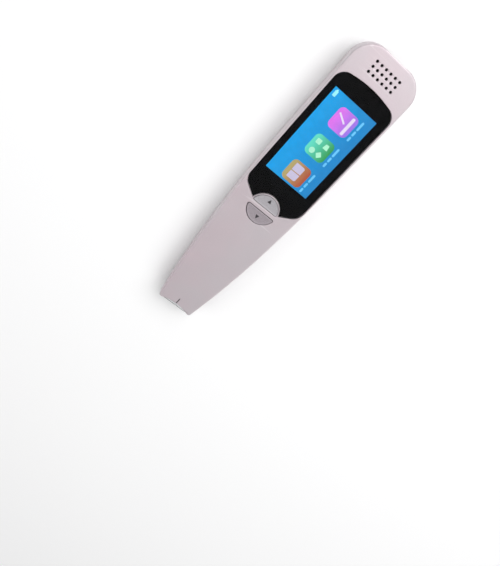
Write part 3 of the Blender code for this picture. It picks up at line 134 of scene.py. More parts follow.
# What the screen shows, in millimetres from its middle
TILE_SIZE = 10.0
TILE_ROUND = 2.2
TILE_X = 0.8
TILE_PLACES = (12.8, -1.2, -15.5)
LABEL_X = 7.3
LABEL_WIDTH = 1.0
LABEL_DASHES = (4.2, 2.4, 2.2)
LABEL_GAP = 0.5
LABEL_STARTS = (5.4, 5.0, 4.6)
LABEL_ROUND = 0.45
BATTERY_X = -9.6
BATTERY_Y = 19.1

# Buttons
BUTTON_Y = (UPPER_LOW.y + LOWER_HIGH.y) / 2
UPPER_HOLE_R = 6.95 * MM
LOWER_HOLE_R = 7.4 * MM
BUTTON_BAR = 1.9 * MM
BUTTON_CORNER_R = 0.9 * MM
BUTTON_CLEARANCE = 0.22 * MM
LOWER_CLEARANCE = 0.3 * MM
BUTTON_RING = 0.45 * MM
BUTTON_ROUND = 0.2 * MM
RING_ROUND = 0.3 * MM
BUTTON_FLANGE = 0.6 * MM
BUTTON_FLANGE_THICK = 0.5 * MM
BUTTON_DISH = 0.12 * MM
NOTCH_R = UPPER_HOLE_R + BUTTON_RING
ARROW_WIDTH = 1.9 * MM
ARROW_LENGTH = 2.0 * MM
ARROW_DEPTH = 0.2 * MM
ARROW_ROUND = 0.2 * MM
UPPER_ARROW = 5.0 * MM
LOWER_ARROW = 4.4 * MM
POWER_FLANGE = 0.45 * MM
POWER_FLANGE_THICK = 0.6 * MM
POWER_FLANGE_ROOM = 0.1 * MM
POWER_Y = (POWER_LOW.y + POWER_HIGH.y) / 2
POWER_Z = (POWER_LOW.z + POWER_HIGH.z) / 2
POWER_LENGTH = POWER_HIGH.y - POWER_LOW.y - 2 * POWER_FLANGE
POWER_HEIGHT = POWER_HIGH.z - POWER_LOW.z - 2 * POWER_FLANGE

# Speaker end
GRILLE_Y = (SPEAKER_LOW.y + SPEAKER_HIGH.y) / 2
GRILLE_PITCH = 2.45 * MM
GRILLE_COLUMNS = 6
GRILLE_ROWS = 3
GRILLE_HOLE_R = 0.62 * MM
GRILLE_WALL = 1.2 * MM
SPEAKER_ROOM = 0.3 * MM
SPEAKER_CORNER_R = 1.8 * MM
SCOOP_DEPTH = 0.3 * MM
SCOOP_HALF = 5.5 * MM
PORT_CLEARANCE = 0.25 * MM
PORT_WALL = 0.3 * MM
PORT_FLARE = 0.35 * MM
TONGUE_ROUND = 0.15 * MM
TONGUE_CORNER_R = 0.2 * MM
CONTACTS = 6
CONTACT_THICK = 0.06 * MM
CONTACT_FROM_ROOT = 1.0 * MM
CONTACT_FROM_MOUTH = 0.5 * MM
MIC_HOLE_R = 0.4 * MM
MIC_X = -6.2 * MM

# Tip
ARCH_DEPTH = 1.7 * MM
ARCH_HALF = 7.8 * MM
MARK_WIDTH = 0.5 * MM
MARK_LENGTH = 3.4 * MM
MARK_DEPTH = 0.2 * MM
MARK_RIM = 0.05 * MM
MARK_END = TIP_Y + ARCH_DEPTH + MARK_LENGTH
# The dark strip at the pointer groove's bottom is painted shade
SHADE_STRIP_WIDTH = 0.8 * MARK_WIDTH
SHADE_STRIP_RIM = -0.07 * MM
NIB_WALL = 0.8 * MM
NIB_CORNER_R = 1.0 * MM
NIB_CLEARANCE = 0.2 * MM
NIB_FLANGE = 1.2 * MM
NIB_FLANGE_RISE = 0.25 * MM
NIB_FLANGE_DROP = 0.6 * MM
NIB_FLANGE_THICK = 1.0 * MM
NIB_ROUND = 0.2 * MM
NIB_WIDTH = NIB_HIGH.x - NIB_LOW.x - 2 * NIB_FLANGE
NIB_HEIGHT = NIB_HIGH.z - NIB_LOW.z - NIB_FLANGE_RISE - NIB_FLANGE_DROP
AXIS_Z = NIB_HIGH.z - NIB_FLANGE_RISE - NIB_HEIGHT / 2
SPRING_WIRE_R = 0.15 * MM
SPRING_DRAWN_R = 0.98 * SPRING_WIRE_R
SPRING_TURNS = 4.5

# Screws
SCREW_NAMES = [f"case_screw_{number}" for number in (1, 2, 3, 4)]
SCREW_CLEARANCE = 0.12 * MM
SCREW_HEAD_THICK = 0.9 * MM
SCREW_DOME = 0.35 * MM
SCREW_SHANK_R = 0.8 * MM
SCREW_ROOT_R = 0.8 * SCREW_SHANK_R
SCREW_POINT_R = 0.5 * SCREW_SHANK_R
SCREW_PITCH = 0.6 * MM
DRIVE_REACH_SHARE = 0.6
DRIVE_SLOT = 0.4 * MM
DRIVE_DEPTH = 0.4 * MM

# How finely round shapes are drawn
SMOOTH_ANGLE = math.radians(32)
CORNER_STEPS = 14
END_STEPS = 28
TIP_STEPS = 6
SIDE_STEPS = 72
EDGE_STEPS = 5
BACK_EDGE_STEPS = 12
FLARE_STEPS = 3
SMALL_STEPS = 4
DRIVE_STEPS = 3
BAR_STEPS = 5
POINTER_STEPS = 4
POINTER_SIDES = 12
DISC_SIDES = 24
HOLE_SIDES = 32
RING_SIDES = 128
COIL_STEPS = 20
WIRE_STEPS = 3

# The room, its lights and the camera
CAMERA_AIM = Vector((19.2, -38.7, 12.0)) * MM
CAMERA_DISTANCE = 280.3 * MM
CAMERA_AZIMUTH = math.radians(-144.9)
CAMERA_ELEVATION = math.radians(61.9)
IMAGE_UP_TURN = math.radians(40.0)
CAMERA_LENS = 38.16
CAMERA_NEAR = 0.01
CAMERA_FAR = 10.0
FLOOR_SIZE = 3.0
WORLD_STRENGTH = 0.22
# Name, power in watts, size in metres, azimuth and elevation in degrees, and distance in metres
LIGHTS = (
    ("key_light", 7.3, 0.8, 162.0, 54.0, 0.8),
    ("left_light", 3.4, 0.8, -70.0, 38.0, 1.0),
    ("right_light", 2.6, 0.8, 60.0, 35.0, 1.0),
)


# ---------------------------------------------------------------- materials


class Nodes:
    """Short names for building one material's node tree."""

    def __init__(self, name):
        self.material = bpy.data.materials.new(name)
        self.material.use_nodes = True
        self.tree = self.material.node_tree
        self.shader = self.tree.nodes["Principled BSDF"]

    def add(self, kind, inputs=(), **settings):
        node = self.tree.nodes.new("ShaderNode" + kind)
        for key, value in settings.items():
            setattr(node, key, value)
        for key, value in dict(inputs).items():
            self.give(node.inputs[key], value)
        return node

    def give(self, socket, value):
        if isinstance(value, bpy.types.NodeSocket):
            self.tree.links.new(value, socket)
        else:
            socket.default_value = value

    def set(self, **values):
        for key, value in values.items():
            self.give(self.shader.inputs[key.replace("_", " ")], value)

    def place(self, stretch=(1.0, 1.0, 1.0)):
        """The piece's own coordinates, stretched along its axes."""
        coordinates = self.add("TexCoord").outputs["Object"]
        return self.add("Mapping", {"Vector": coordinates, "Scale": stretch}).outputs["Vector"]

    def noise(self, size, detail=2.0, stretch=(1.0, 1.0, 1.0), roughness=0.5):
        """Smooth noise with blotches of about this size, in metres."""
        inputs = {"Vector": self.place(stretch), "Scale": 1 / size, "Detail": detail, "Roughness": roughness}
        return self.add("TexNoise", inputs).outputs["Fac"]

    def cells(self, size, stretch=(1.0, 1.0, 1.0), feature="F1"):
        inputs = {"Vector": self.place(stretch), "Scale": 1 / size}
        return self.add("TexVoronoi", inputs, feature=feature).outputs["Distance"]

    def waves(self, size, direction, profile="SIN", distortion=0.0):
        inputs = {"Vector": self.place(), "Scale": 0.314 / size, "Distortion": distortion}
        return self.add("TexWave", inputs, bands_direction=direction, wave_profile=profile).outputs["Fac"]

    def spread(self, factor, low, high, start=0.3, end=0.7):
        """Turns a factor between start and end into a number between low and high."""
        inputs = {"Value": factor, "From Min": start, "From Max": end, "To Min": low, "To Max": high}
        return self.add("MapRange", inputs).outputs["Result"]

    def blend(self, factor, first, second):
        node = self.add("Mix", data_type="RGBA")
        self.give(node.inputs["Factor"], factor)
        self.give(node.inputs["A"], (*first, 1.0) if isinstance(first, tuple) else first)
        self.give(node.inputs["B"], (*second, 1.0) if isinstance(second, tuple) else second)
        return node.outputs["Result"]

    def sum(self, first, second, operation="ADD"):
        node = self.add("Math", operation=operation)
        self.give(node.inputs[0], first)
        self.give(node.inputs[1], second)
        return node.outputs[0]

    def bump(self, height, depth, strength=1.0, under=None):
        """Raises the surface by up to depth metres."""
        inputs = {"Height": height, "Distance": depth, "Strength": strength}
        if under:
            inputs["Normal"] = under
        normal = self.add("Bump", inputs).outputs["Normal"]
        self.give(self.shader.inputs["Normal"], normal)
        return normal

    def edges(self, low, high):
        """How far a spot is on an outer edge, from 0 to 1."""
        return self.spread(self.add("NewGeometry").outputs["Pointiness"], 0.0, 1.0, low, high)


def body_paint():
    """Pearl lacquer with fine flakes, softly uneven, over moulded plastic."""
    nodes = Nodes("body_paint")
    cloud = nodes.spread(nodes.noise(26 * MM, 3.0), 0.0, 1.0)
    base = nodes.blend(cloud, (0.510, 0.418, 0.450), (0.468, 0.430, 0.450))
    flakes = nodes.spread(nodes.cells(0.16 * MM), 0.0, 1.0, 0.15, 0.6)
    base = nodes.blend(nodes.sum(flakes, 0.22, "MULTIPLY"), base, (0.66, 0.60, 0.64))
    worn = nodes.sum(nodes.edges(0.53, 0.62), 0.35, "MULTIPLY")
    base = nodes.blend(worn, base, (0.74, 0.69, 0.71))
    handled = nodes.noise(9 * MM, 4.0, roughness=0.6)
    rough = nodes.spread(handled, 0.36, 0.46)
    peel = nodes.bump(nodes.noise(0.9 * MM, 2.0), 0.004 * MM)
    nodes.bump(flakes, 0.0012 * MM, under=peel)
    nodes.set(Base_Color=base, Roughness=rough, Metallic=0.24, Coat_Weight=0.2, Coat_Roughness=0.16)
    return nodes.material


def button_paint(name, dark, light):
    """Satin silver with a fine sprayed grain."""
    nodes = Nodes(name)
    speckle = nodes.spread(nodes.noise(0.22 * MM, 3.0, roughness=0.7), 0.0, 1.0, 0.35, 0.65)
    base = nodes.blend(speckle, dark, light)
    worn = nodes.sum(nodes.edges(0.52, 0.60), 0.3, "MULTIPLY")
    base = nodes.blend(worn, base, (0.60, 0.57, 0.60))
    rough = nodes.spread(nodes.noise(3 * MM, 3.0), 0.42, 0.55)
    nodes.bump(speckle, 0.006 * MM, 0.8)
    nodes.set(Base_Color=base, Roughness=rough, Metallic=0.25)
    return nodes.material


def cover_glass():
    """Clear glass with faint fingertip smears."""
    nodes = Nodes("cover_glass")
    smears = nodes.noise(6 * MM, 5.0, (1.0, 0.35, 1.0), 0.65)
    nodes.set(
        Base_Color=(0.97, 0.985, 0.98, 1.0),
        Roughness=nodes.spread(smears, 0.0, 0.03, 0.5, 0.8),
        Transmission_Weight=1.0,
        IOR=1.25,
    )
    return nodes.material


def black_film():
    """Screen-printed ink with a faint grain."""
    nodes = Nodes("black_film")
    grain = nodes.noise(0.08 * MM, 2.0)
    base = nodes.blend(grain, (0.0008, 0.0007, 0.0014), (0.0014, 0.0012, 0.0022))
    nodes.bump(grain, 0.0001 * MM, 0.3)
    nodes.set(Base_Color=base, Roughness=nodes.spread(grain, 0.7, 0.8), Specular_IOR_Level=0.05)
    return nodes.material


def clear_plastic():
    """Polished acrylic with faint flow lines and scuffs from the page."""
    nodes = Nodes("clear_plastic")
    scuffs = nodes.noise(0.5 * MM, 4.0, (1.0, 0.15, 1.0), 0.7)
    flow = nodes.noise(5 * MM, 1.0)
    nodes.bump(flow, 0.02 * MM, 0.4)
    nodes.set(
        Base_Color=(0.93, 0.95, 0.96, 1.0),
        Roughness=nodes.spread(scuffs, 0.03, 0.16, 0.45, 0.75),
        Transmission_Weight=0.96,
        IOR=1.49,
    )
    return nodes.material


def moulded(name, dark, light, rough, grain, depth):
    """Moulded plastic with a spark-eroded grain."""
    nodes = Nodes(name)
    pits = nodes.noise(grain, 3.0, roughness=0.6)
    base = nodes.blend(nodes.noise(4 * MM, 3.0), dark, light)
    nodes.bump(pits, depth, 0.7)
    nodes.set(Base_Color=base, Roughness=nodes.spread(pits, rough - 0.07, rough + 0.07))
    return nodes.material


def rolled_metal(name, dark, light, rough, stretch):
    """Bare metal with fine drawing marks along one way."""
    nodes = Nodes(name)
    marks = nodes.noise(0.05 * MM, 3.0, stretch, 0.7)
    base = nodes.blend(nodes.noise(2 * MM, 3.0), dark, light)
    nodes.bump(marks, 0.0015 * MM, 0.6)
    nodes.set(
        Base_Color=base,
        Metallic=1.0,
        Roughness=nodes.spread(marks, rough - 0.08, rough + 0.08),
        Anisotropic=0.3,
    )
    return nodes.material


def battery_foil():
    """Laminated foil with soft dents."""
    nodes = Nodes("battery_foil")
    dents = nodes.noise(5 * MM, 3.0)
    creases = nodes.cells(3 * MM, feature="SMOOTH_F1")
    base = nodes.blend(dents, (0.56, 0.57, 0.59), (0.70, 0.71, 0.72))
    nodes.bump(nodes.sum(dents, creases), 0.05 * MM, 0.6)
    nodes.set(Base_Color=base, Metallic=0.85, Roughness=nodes.spread(dents, 0.28, 0.42))
    return nodes.material


def circuit_board():
    """Green solder mask over copper tracks, with bare pads."""
    nodes = Nodes("circuit_board")
    across = nodes.waves(0.55 * MM, "X", distortion=2.0)
    along = nodes.waves(0.75 * MM, "Y", distortion=3.0)
    region = nodes.spread(nodes.noise(3 * MM, 0.0), 0.0, 1.0, 0.47, 0.53)
    tracks = nodes.add("Mix", {"Factor": region, "A": across, "B": along}).outputs["Result"]
    tracks = nodes.spread(tracks, 0.0, 1.0, 0.5, 0.62)
    mask = nodes.blend(tracks, (0.006, 0.060, 0.028), (0.014, 0.150, 0.065))
    pads = nodes.spread(nodes.cells(1.3 * MM), 1.0, 0.0, 0.14, 0.17)
    base = nodes.blend(pads, mask, (0.78, 0.56, 0.22))
    nodes.bump(nodes.sum(tracks, pads), 0.02 * MM, 0.5)
    nodes.set(Base_Color=base, Metallic=pads, Roughness=nodes.spread(tracks, 0.30, 0.40, 0.0, 1.0))
    return nodes.material


def ribbon():
    """Amber film over copper conductors."""
    nodes = Nodes("ribbon")
    conductors = nodes.spread(nodes.waves(0.5 * MM, "X"), 0.0, 1.0, 0.45, 0.6)
    base = nodes.blend(conductors, (0.36, 0.15, 0.02), (0.62, 0.30, 0.07))
    nodes.bump(conductors, 0.02 * MM, 0.6)
    nodes.set(Base_Color=base, Roughness=nodes.spread(conductors, 0.30, 0.38, 0.0, 1.0), Coat_Weight=0.4)
    return nodes.material


def speaker_cloth():
    """Fine woven dust mesh."""
    nodes = Nodes("speaker_cloth")
    weave = nodes.sum(nodes.waves(0.12 * MM, "X"), nodes.waves(0.12 * MM, "Y"), "MULTIPLY")
    base = nodes.blend(weave, (0.004, 0.004, 0.004), (0.018, 0.018, 0.019))
    nodes.bump(weave, 0.02 * MM)
    nodes.set(Base_Color=base, Roughness=nodes.spread(weave, 0.85, 0.7, 0.0, 1.0), Specular_IOR_Level=0.2)
    return nodes.material


def glowing(name, start, end, left, right):
    """A lit patch of the display whose colour runs from its left side to its right."""
    nodes = Nodes(name)
    across = nodes.add("SeparateXYZ", {"Vector": nodes.place()}).outputs["X"]
    run = nodes.spread(across, 0.0, 1.0, left, right)
    nodes.set(
        Base_Color=(0.004, 0.004, 0.006, 1.0),
        Roughness=0.6,
        Specular_IOR_Level=0.1,
        Emission_Color=nodes.blend(run, start, end),
        Emission_Strength=nodes.spread(nodes.noise(3 * MM, 2.0), 0.96, 1.04),
    )
    return nodes.material


# Two colours, roughness, and the size and depth of the grain in millimetres
MOULDED = {
    "chip": ((0.012, 0.012, 0.013), (0.022, 0.022, 0.024), 0.55, 0.06, 0.003),
    "phosphor": ((0.80, 0.62, 0.08), (0.92, 0.78, 0.20), 0.35, 0.1, 0.002),
    "black_plastic": ((0.012, 0.012, 0.012), (0.020, 0.020, 0.021), 0.5, 0.15, 0.006),
    "white_plastic": ((0.74, 0.74, 0.72), (0.82, 0.82, 0.80), 0.42, 0.2, 0.004),
    # On the button arrows this ink is print; in the pointer groove it is painted shade
    "mark_ink": ((0.018, 0.015, 0.018), (0.030, 0.026, 0.030), 0.6, 0.08, 0.003),
    "red_wire": ((0.42, 0.012, 0.012), (0.55, 0.025, 0.02), 0.42, 0.2, 0.004),
    "black_wire": ((0.010, 0.010, 0.011), (0.018, 0.018, 0.019), 0.42, 0.2, 0.004),
    "display": ((0.010, 0.012, 0.016), (0.014, 0.018, 0.024), 0.2, 0.1, 0.001),
}

# Two colours, roughness, and how the drawing marks are stretched along X, Y and Z
ROLLED = {
    "steel": ((0.56, 0.56, 0.57), (0.66, 0.66, 0.67), 0.30, (1.0, 0.08, 1.0)),
    "spring_steel": ((0.50, 0.50, 0.52), (0.60, 0.60, 0.62), 0.26, (1.0, 1.0, 0.2)),
    "contact_gold": ((0.80, 0.56, 0.22), (0.88, 0.66, 0.30), 0.25, (0.2, 1.0, 1.0)),
}

# The dark and the light colour of each button; the lower button's pair is a darker, pinker copy of the upper's,
# which is painted shade
SPRAYED = {
    "button_paint": ((0.290, 0.275, 0.295), (0.450, 0.430, 0.455)),
    "lower_button_shaded_paint": ((0.240, 0.210, 0.232), (0.380, 0.335, 0.362)),
}


def make_materials():
    singles = (
        body_paint,
        cover_glass,
        black_film,
        clear_plastic,
        battery_foil,
        circuit_board,
        ribbon,
        speaker_cloth,
    )
    made = {single.__name__: single() for single in singles}
    for name, look in SPRAYED.items():
        made[name] = button_paint(name, *look)
    for name, (dark, light, rough, grain, depth) in MOULDED.items():
        made[name] = moulded(name, dark, light, rough, grain * MM, depth * MM)
    for name, look in ROLLED.items():
        made[name] = rolled_metal(name, *look)
    return made


MATERIALS = make_materials()


# ---------------------------------------------------------------- flat outlines


def arc(centre, radius, start, end, steps):
    """Points from one angle to another, in degrees, both ends included."""
    angles = [math.radians(start + (end - start) * i / steps) for i in range(steps + 1)]
    return [(centre[0] + radius * math.cos(a), centre[1] + radius * math.sin(a)) for a in angles]


def mirrored(right):
    return right + [(-x, *rest) for x, *rest in reversed(right)]


def quarter_round(radius, steps):
    """Pairs of inset and depth down a rounded edge, from its face to its side."""
    angles = [math.pi / 2 * i / steps for i in range(steps + 1)]
    return [(radius * (1 - math.sin(a)), radius * (1 - math.cos(a))) for a in angles]


def rounded_outline(corners, inset=0.0, steps=CORNER_STEPS):
    """The closed outline through corners of (x, y, radius), anticlockwise, moved in by inset."""
    points = [Vector(corner[:2]) for corner in corners]
    count = len(points)
    sides = []
    for i in range(count):
        along = (points[(i + 1) % count] - points[i]).normalized()
        inward = Vector((-along.y, along.x))
        sides.append((points[i] + inward * inset, along))
    outline = []
    for i in range(count):
        start, before = sides[i - 1]
        end, after = sides[i]
        turn = before.cross(after)
        corner = start + before * ((end - start).cross(after) / turn)
        half_angle = math.atan2(turn, before.dot(after)) / 2
        radius = max(corners[i][2] - math.copysign(inset, turn), LEAST_R)
        reach = radius * math.tan(abs(half_angle))
        inward = (after - before).normalized()
        centre = corner + inward * math.hypot(reach, radius)
        first = corner - before * reach - centre
        for step in range(steps + 1):
            outline.append(centre + Matrix.Rotation(2 * half_angle * step / steps, 2) @ first)
    return [tuple(point) for point in outline]


def rectangle(width, length, radius, middle=(0.0, 0.0), inset=0.0, steps=CORNER_STEPS):
    x, y = width / 2, length / 2
    corners = [(x, -y), (x, y), (-x, y), (-x, -y)]
    placed = [(middle[0] + a, middle[1] + b, radius) for a, b in corners]
    return rounded_outline(placed, inset, steps)


def glass_outline(inset=0.0):
    """The cover glass before its round notch: crowned at the top, a shallow V at the bottom."""
    right = [
        (GLASS_SIDE, GLASS_LOW_Y, GLASS_LOW_R),
        (GLASS_SIDE, GLASS_CROWN_Y - GLASS_CROWN_RISE, GLASS_TOP_R),
    ]
    left = [(-x, y, radius) for x, y, radius in reversed(right)]
    point = (0.0, GLASS_LOW_Y - GLASS_LOW_SLOPE * GLASS_SIDE, LEAST_R)
    top = (0.0, GLASS_CROWN_Y, GLASS_CROWN_R)
    return rounded_outline([point, *right, top, *left], inset)


def half_round_outline(hole_r, inset=0.0):
    """A button's hole about the pair's middle: a chord above the bar, its corners rounded."""
    radius = hole_r - inset
    chord = BUTTON_BAR / 2 + inset
    corner = max(BUTTON_CORNER_R - inset, LEAST_R)
    centre = (math.sqrt((radius - corner) ** 2 - (chord + corner) ** 2), chord + corner)
    lean = math.degrees(math.atan2(centre[1], centre[0]))
    right = arc(centre, corner, -90, lean, CORNER_STEPS // 2)
    return mirrored(right + arc((0.0, 0.0), radius, lean, 90, 2 * CORNER_STEPS)[1:-1])


def half_width(y):
    """Half the body's width: full above the shoulder, then narrowing ever faster to the tip."""
    run = max(0.0, (SHOULDER_Y - y) / (SHOULDER_Y - TIP_Y))
    return BODY_WIDTH / 2 - (BODY_WIDTH - TIP_WIDTH) / 2 * run**TAPER_POWER


def body_outline(inset=0.0, tip_inset=None):
    """The body seen from the front, moved in by inset, always with the same number of points."""
    tip = TIP_Y + (inset if tip_inset is None else tip_inset)
    top = TOP_Y - inset
    tip_radius = max(TIP_CORNER_R - inset, LEAST_R)
    top_radius = max(END_CORNER_R - inset, LEAST_R)
    low, high = tip + tip_radius, top - top_radius
    right = arc((half_width(low) - inset - tip_radius, low), tip_radius, -90, 0, TIP_STEPS)
    for i in range(1, SIDE_STEPS):
        y = low + (high - low) * i / SIDE_STEPS
        right.append((half_width(y) - inset, y))
    right += arc((BODY_WIDTH / 2 - inset - top_radius, high), top_radius, 0, 90, END_STEPS)
    return mirrored(right)


def bite_outline(edge_y, depth, half_chord, outward, grow=0.0):
    """A shallow circular bite into an end of the body, closed well outside it."""
    radius = (half_chord**2 + depth**2) / (2 * depth)
    middle = edge_y + outward * (radius - depth)
    reach = math.degrees(math.asin((half_chord + PAST) / radius))
    start = -outward * 90
    points = arc((0.0, middle), radius + grow, start - reach, start + reach, 2 * CORNER_STEPS)
    far = edge_y + outward * PAST * 3
    return points + [(points[-1][0], far), (points[0][0], far)]


# ---------------------------------------------------------------- the body's thickness along its length


def front_z(y):
    run = max(0.0, 1 - (y - TIP_Y) / FRONT_SLOPE_LENGTH)
    return BODY_THICK - FRONT_DROP * run**2


def back_z(y):
    run = max(0.0, 1 - (y - TIP_Y) / BACK_SLOPE_LENGTH)
    return BACK_RISE * run**2


def level(y, z):
    """The height at y of what is at height z where the body has its full thickness."""
    return back_z(y) + z / BODY_THICK * (front_z(y) - back_z(y))


def body_ring(inset, z, tip_inset=None):
    return [(x, y, level(y, z)) for x, y in body_outline(inset, tip_inset)]


def at(outline, z):
    return [(x, y, z) for x, y in outline]


def standing(outline, y):
    """An outline drawn in X and Z, placed at y."""
    return [(x, y, z) for x, z in outline]


def sideways(outline, x):
    """An outline drawn in Y and Z, placed at x."""
    return [(x, y, z) for y, z in outline]


# ---------------------------------------------------------------- solids


def new_object(name, shape):
    mesh = bpy.data.meshes.new(name)
    bmesh.ops.recalc_face_normals(shape, faces=shape.faces)
    shape.to_mesh(mesh)
    shape.free()
    obj = bpy.data.objects.new(name, mesh)
    bpy.context.scene.collection.objects.link(obj)
    return obj


def add_loft(shape, rings, ladder=False, ring_shaped=False):
    """Adds a solid through rings of points. Its ends are flat faces, rungs, or joined to each other."""
    loops = [[shape.verts.new(point) for point in ring] for ring in rings]
    count = len(loops[0])
    pairs = list(zip(loops, loops[1:] + loops[:1])) if ring_shaped else list(zip(loops, loops[1:]))
    for lower, upper in pairs:
        for i in range(count):
            j = (i + 1) % count
            shape.faces.new((lower[i], lower[j], upper[j], upper[i]))
    if ring_shaped:
        return
    for end in (loops[0], loops[-1]):
        if ladder:
            for i in range(count // 2 - 1):
                shape.faces.new((end[i], end[i + 1], end[-i - 2], end[-i - 1]))
        else:
            shape.faces.new(end)


def loft(name, rings, ladder=False, ring_shaped=False):
    shape = bmesh.new()
    add_loft(shape, rings, ladder, ring_shaped)
    return new_object(name, shape)


def plate(name, outline, low, high, edge=0.0):
    """A flat piece with a rounded upper edge. The outline is a function of inset, or a list of points."""
    given = outline if callable(outline) else lambda inset: outline
    rim = quarter_round(edge, FLARE_STEPS) if edge else [(0.0, 0.0)]
    rings = [at(given(inset), high - depth) for inset, depth in rim]
    return loft(name, [*rings, at(given(0.0), low)])


def turned(shape, profile, base, axis, sides=HOLE_SIDES):
    """Adds a body turned about axis from pairs of radius and distance along it."""
    turn = Vector(axis).to_track_quat("Z", "Y").to_matrix()
    rings = []
    for radius, along in profile:
        ring = arc((0.0, 0.0), radius, 0, 360 - 360 / sides, sides - 1)
        rings.append([Vector(base) + turn @ Vector((x, y, along)) for x, y in ring])
    add_loft(shape, rings)


def bake(obj):
    """Applies the modifiers so that the mesh itself holds the shape."""
    graph = bpy.context.evaluated_depsgraph_get()
    mesh = bpy.data.meshes.new_from_object(obj.evaluated_get(graph))
    obj.modifiers.clear()
    obj.data = mesh
    mesh.name = obj.name


def combine(obj, operation, others):
    """Applies a Boolean with each of the others, which are used up."""
    for other in others:
        modifier = obj.modifiers.new(other.name, "BOOLEAN")
        modifier.operation = operation
        modifier.solver = "EXACT"
        modifier.object = other
    bake(obj)
    for other in others:
        bpy.data.objects.remove(other)
    return obj


def cut(obj, *cutters):
    return combine(obj, "DIFFERENCE", cutters)


def flare(radius):
    """Pairs of growth and rise up the rounded lip of an opening."""
    angles = [math.pi / 2 * i / FLARE_STEPS for i in range(FLARE_STEPS + 1)]
    return [(radius * (1 - math.cos(a)), radius * math.sin(a)) for a in angles]


def flared_cutter(name, outline, low, top):
    """Cuts an opening down from a flat face at top, with a rounded lip. The outline takes an inset."""
    rings = [at(outline(0.0), low)]
    rings += [at(outline(-grow), top - LIP_ROUND + rise) for grow, rise in flare(LIP_ROUND)]
    rings.append(at(outline(-LIP_ROUND), top + PAST))
    return loft(name, rings)


def finish_piece(obj, material, body, stands_for=(), weighted=True):
    """Shades a piece, gives it its material and joins it to its body."""
    mesh = obj.data
    mesh.materials.clear()
    mesh.materials.append(MATERIALS[material])
    mesh.shade_smooth()
    mesh.set_sharp_from_angle(angle=SMOOTH_ANGLE)
    if weighted:
        normals = obj.modifiers.new("even shading", "WEIGHTED_NORMAL")
        normals.keep_sharp = True
        normals.weight = 100
    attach(obj, body)
    if stands_for:
        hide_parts(*stands_for)


# ---------------------------------------------------------------- housings


def inner_features(node, rings):
    """The bosses, ribs and stops inside a housing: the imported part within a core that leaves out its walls."""
    shape = bmesh.new()
    shape.from_mesh(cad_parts[node].data)
    bmesh.ops.remove_doubles(shape, verts=shape.verts, dist=MERGE_WITHIN)
    obj = new_object(node + "_features", shape)
    return combine(obj, "INTERSECT", [loft(node + "_core", rings, ladder=True)])


def pocket_cutter():
    """The glass's pocket, with the ring around the upper button left standing."""
    pocket = flared_cutter(
        "glass_pocket", lambda inset: glass_outline(inset - GLASS_CLEARANCE), POCKET_Z, BODY_THICK
    )
    profile = [(NOTCH_R, POCKET_Z - PAST)]
    profile += [(NOTCH_R - grow, BODY_THICK - RING_ROUND + rise) for grow, rise in flare(RING_ROUND)]
    profile.append((NOTCH_R - RING_ROUND, BODY_THICK + 2 * PAST))
    shape = bmesh.new()
    turned(shape, profile, (0.0, BUTTON_Y, 0.0), (0, 0, 1), RING_SIDES)
    return cut(pocket, new_object("button_ring", shape))


def grille_cutter():
    shape = bmesh.new()
    profile = [(GRILLE_HOLE_R, CEILING_Z)]
    profile += [(GRILLE_HOLE_R + grow, BODY_THICK - LIP_ROUND + rise) for grow, rise in flare(LIP_ROUND)]
    profile.append((GRILLE_HOLE_R + LIP_ROUND, BODY_THICK + PAST))
    for column in range(GRILLE_COLUMNS):
        for row in range(GRILLE_ROWS):
            x = (column - (GRILLE_COLUMNS - 1) / 2) * GRILLE_PITCH
            y = GRILLE_Y + (row - (GRILLE_ROWS - 1) / 2) * GRILLE_PITCH
            turned(shape, profile, (x, y, 0.0), (0, 0, 1))
    return new_object("grille_holes", shape)


def bite_cutter(name, edge_y, depth, half_chord, outward):
    """A bite through the whole thickness with a rounded lip on the front."""
    rings = [at(bite_outline(edge_y, depth, half_chord, outward), -PAST)]
    for grow, rise in flare(LIP_ROUND):
        outline = bite_outline(edge_y, depth, half_chord, outward, grow)
        rings.append([(x, y, front_z(y) - LIP_ROUND + rise) for x, y in outline])
    rings.append(at(bite_outline(edge_y, depth, half_chord, outward, LIP_ROUND), BODY_THICK + PAST))
    return loft(name, rings)


def nib_cutter():
    hole = rectangle(NIB_WIDTH, NIB_HEIGHT, NIB_CORNER_R, (0.0, AXIS_Z), -NIB_CLEARANCE)
    return loft("nib_hole", [standing(hole, TIP_Y - PAST), standing(hole, TIP_Y + TIP_WALL + PAST)])


def port_outline(inset):
    """The port's shell, in X and Z."""
    width, height = PORT_HIGH.x - PORT_LOW.x, PORT_HIGH.z - PORT_LOW.z
    return rectangle(width, height, height / 2 - LEAST_R, (0.0, SEAM_Z), inset)


def port_cutter():
    """The charging port's opening, flared at the end face."""
    face = TOP_Y - SCOOP_DEPTH
    straight = port_outline(-PORT_CLEARANCE)
    flared = port_outline(-PORT_CLEARANCE - PORT_FLARE)
    rings = [
        standing(straight, PORT_LOW.y),
        standing(straight, face - PORT_FLARE),
        standing(flared, face),
        standing(flared, TOP_Y + PAST),
    ]
    return loft("port_hole", rings)


def end_cutters():
    """What is cut from both housings at their two ends."""
    return [
        port_cutter(),
        bite_cutter("end_scoop", TOP_Y, SCOOP_DEPTH, SCOOP_HALF, 1),
        bite_cutter("tip_arch", TIP_Y, ARCH_DEPTH, ARCH_HALF, -1),
        nib_cutter(),
    ]


def power_outline(grow):
    """The side button's pill, in Y and Z."""
    return rectangle(POWER_LENGTH, POWER_HEIGHT, POWER_HEIGHT / 2 - LEAST_R, (POWER_Y, POWER_Z), -grow)


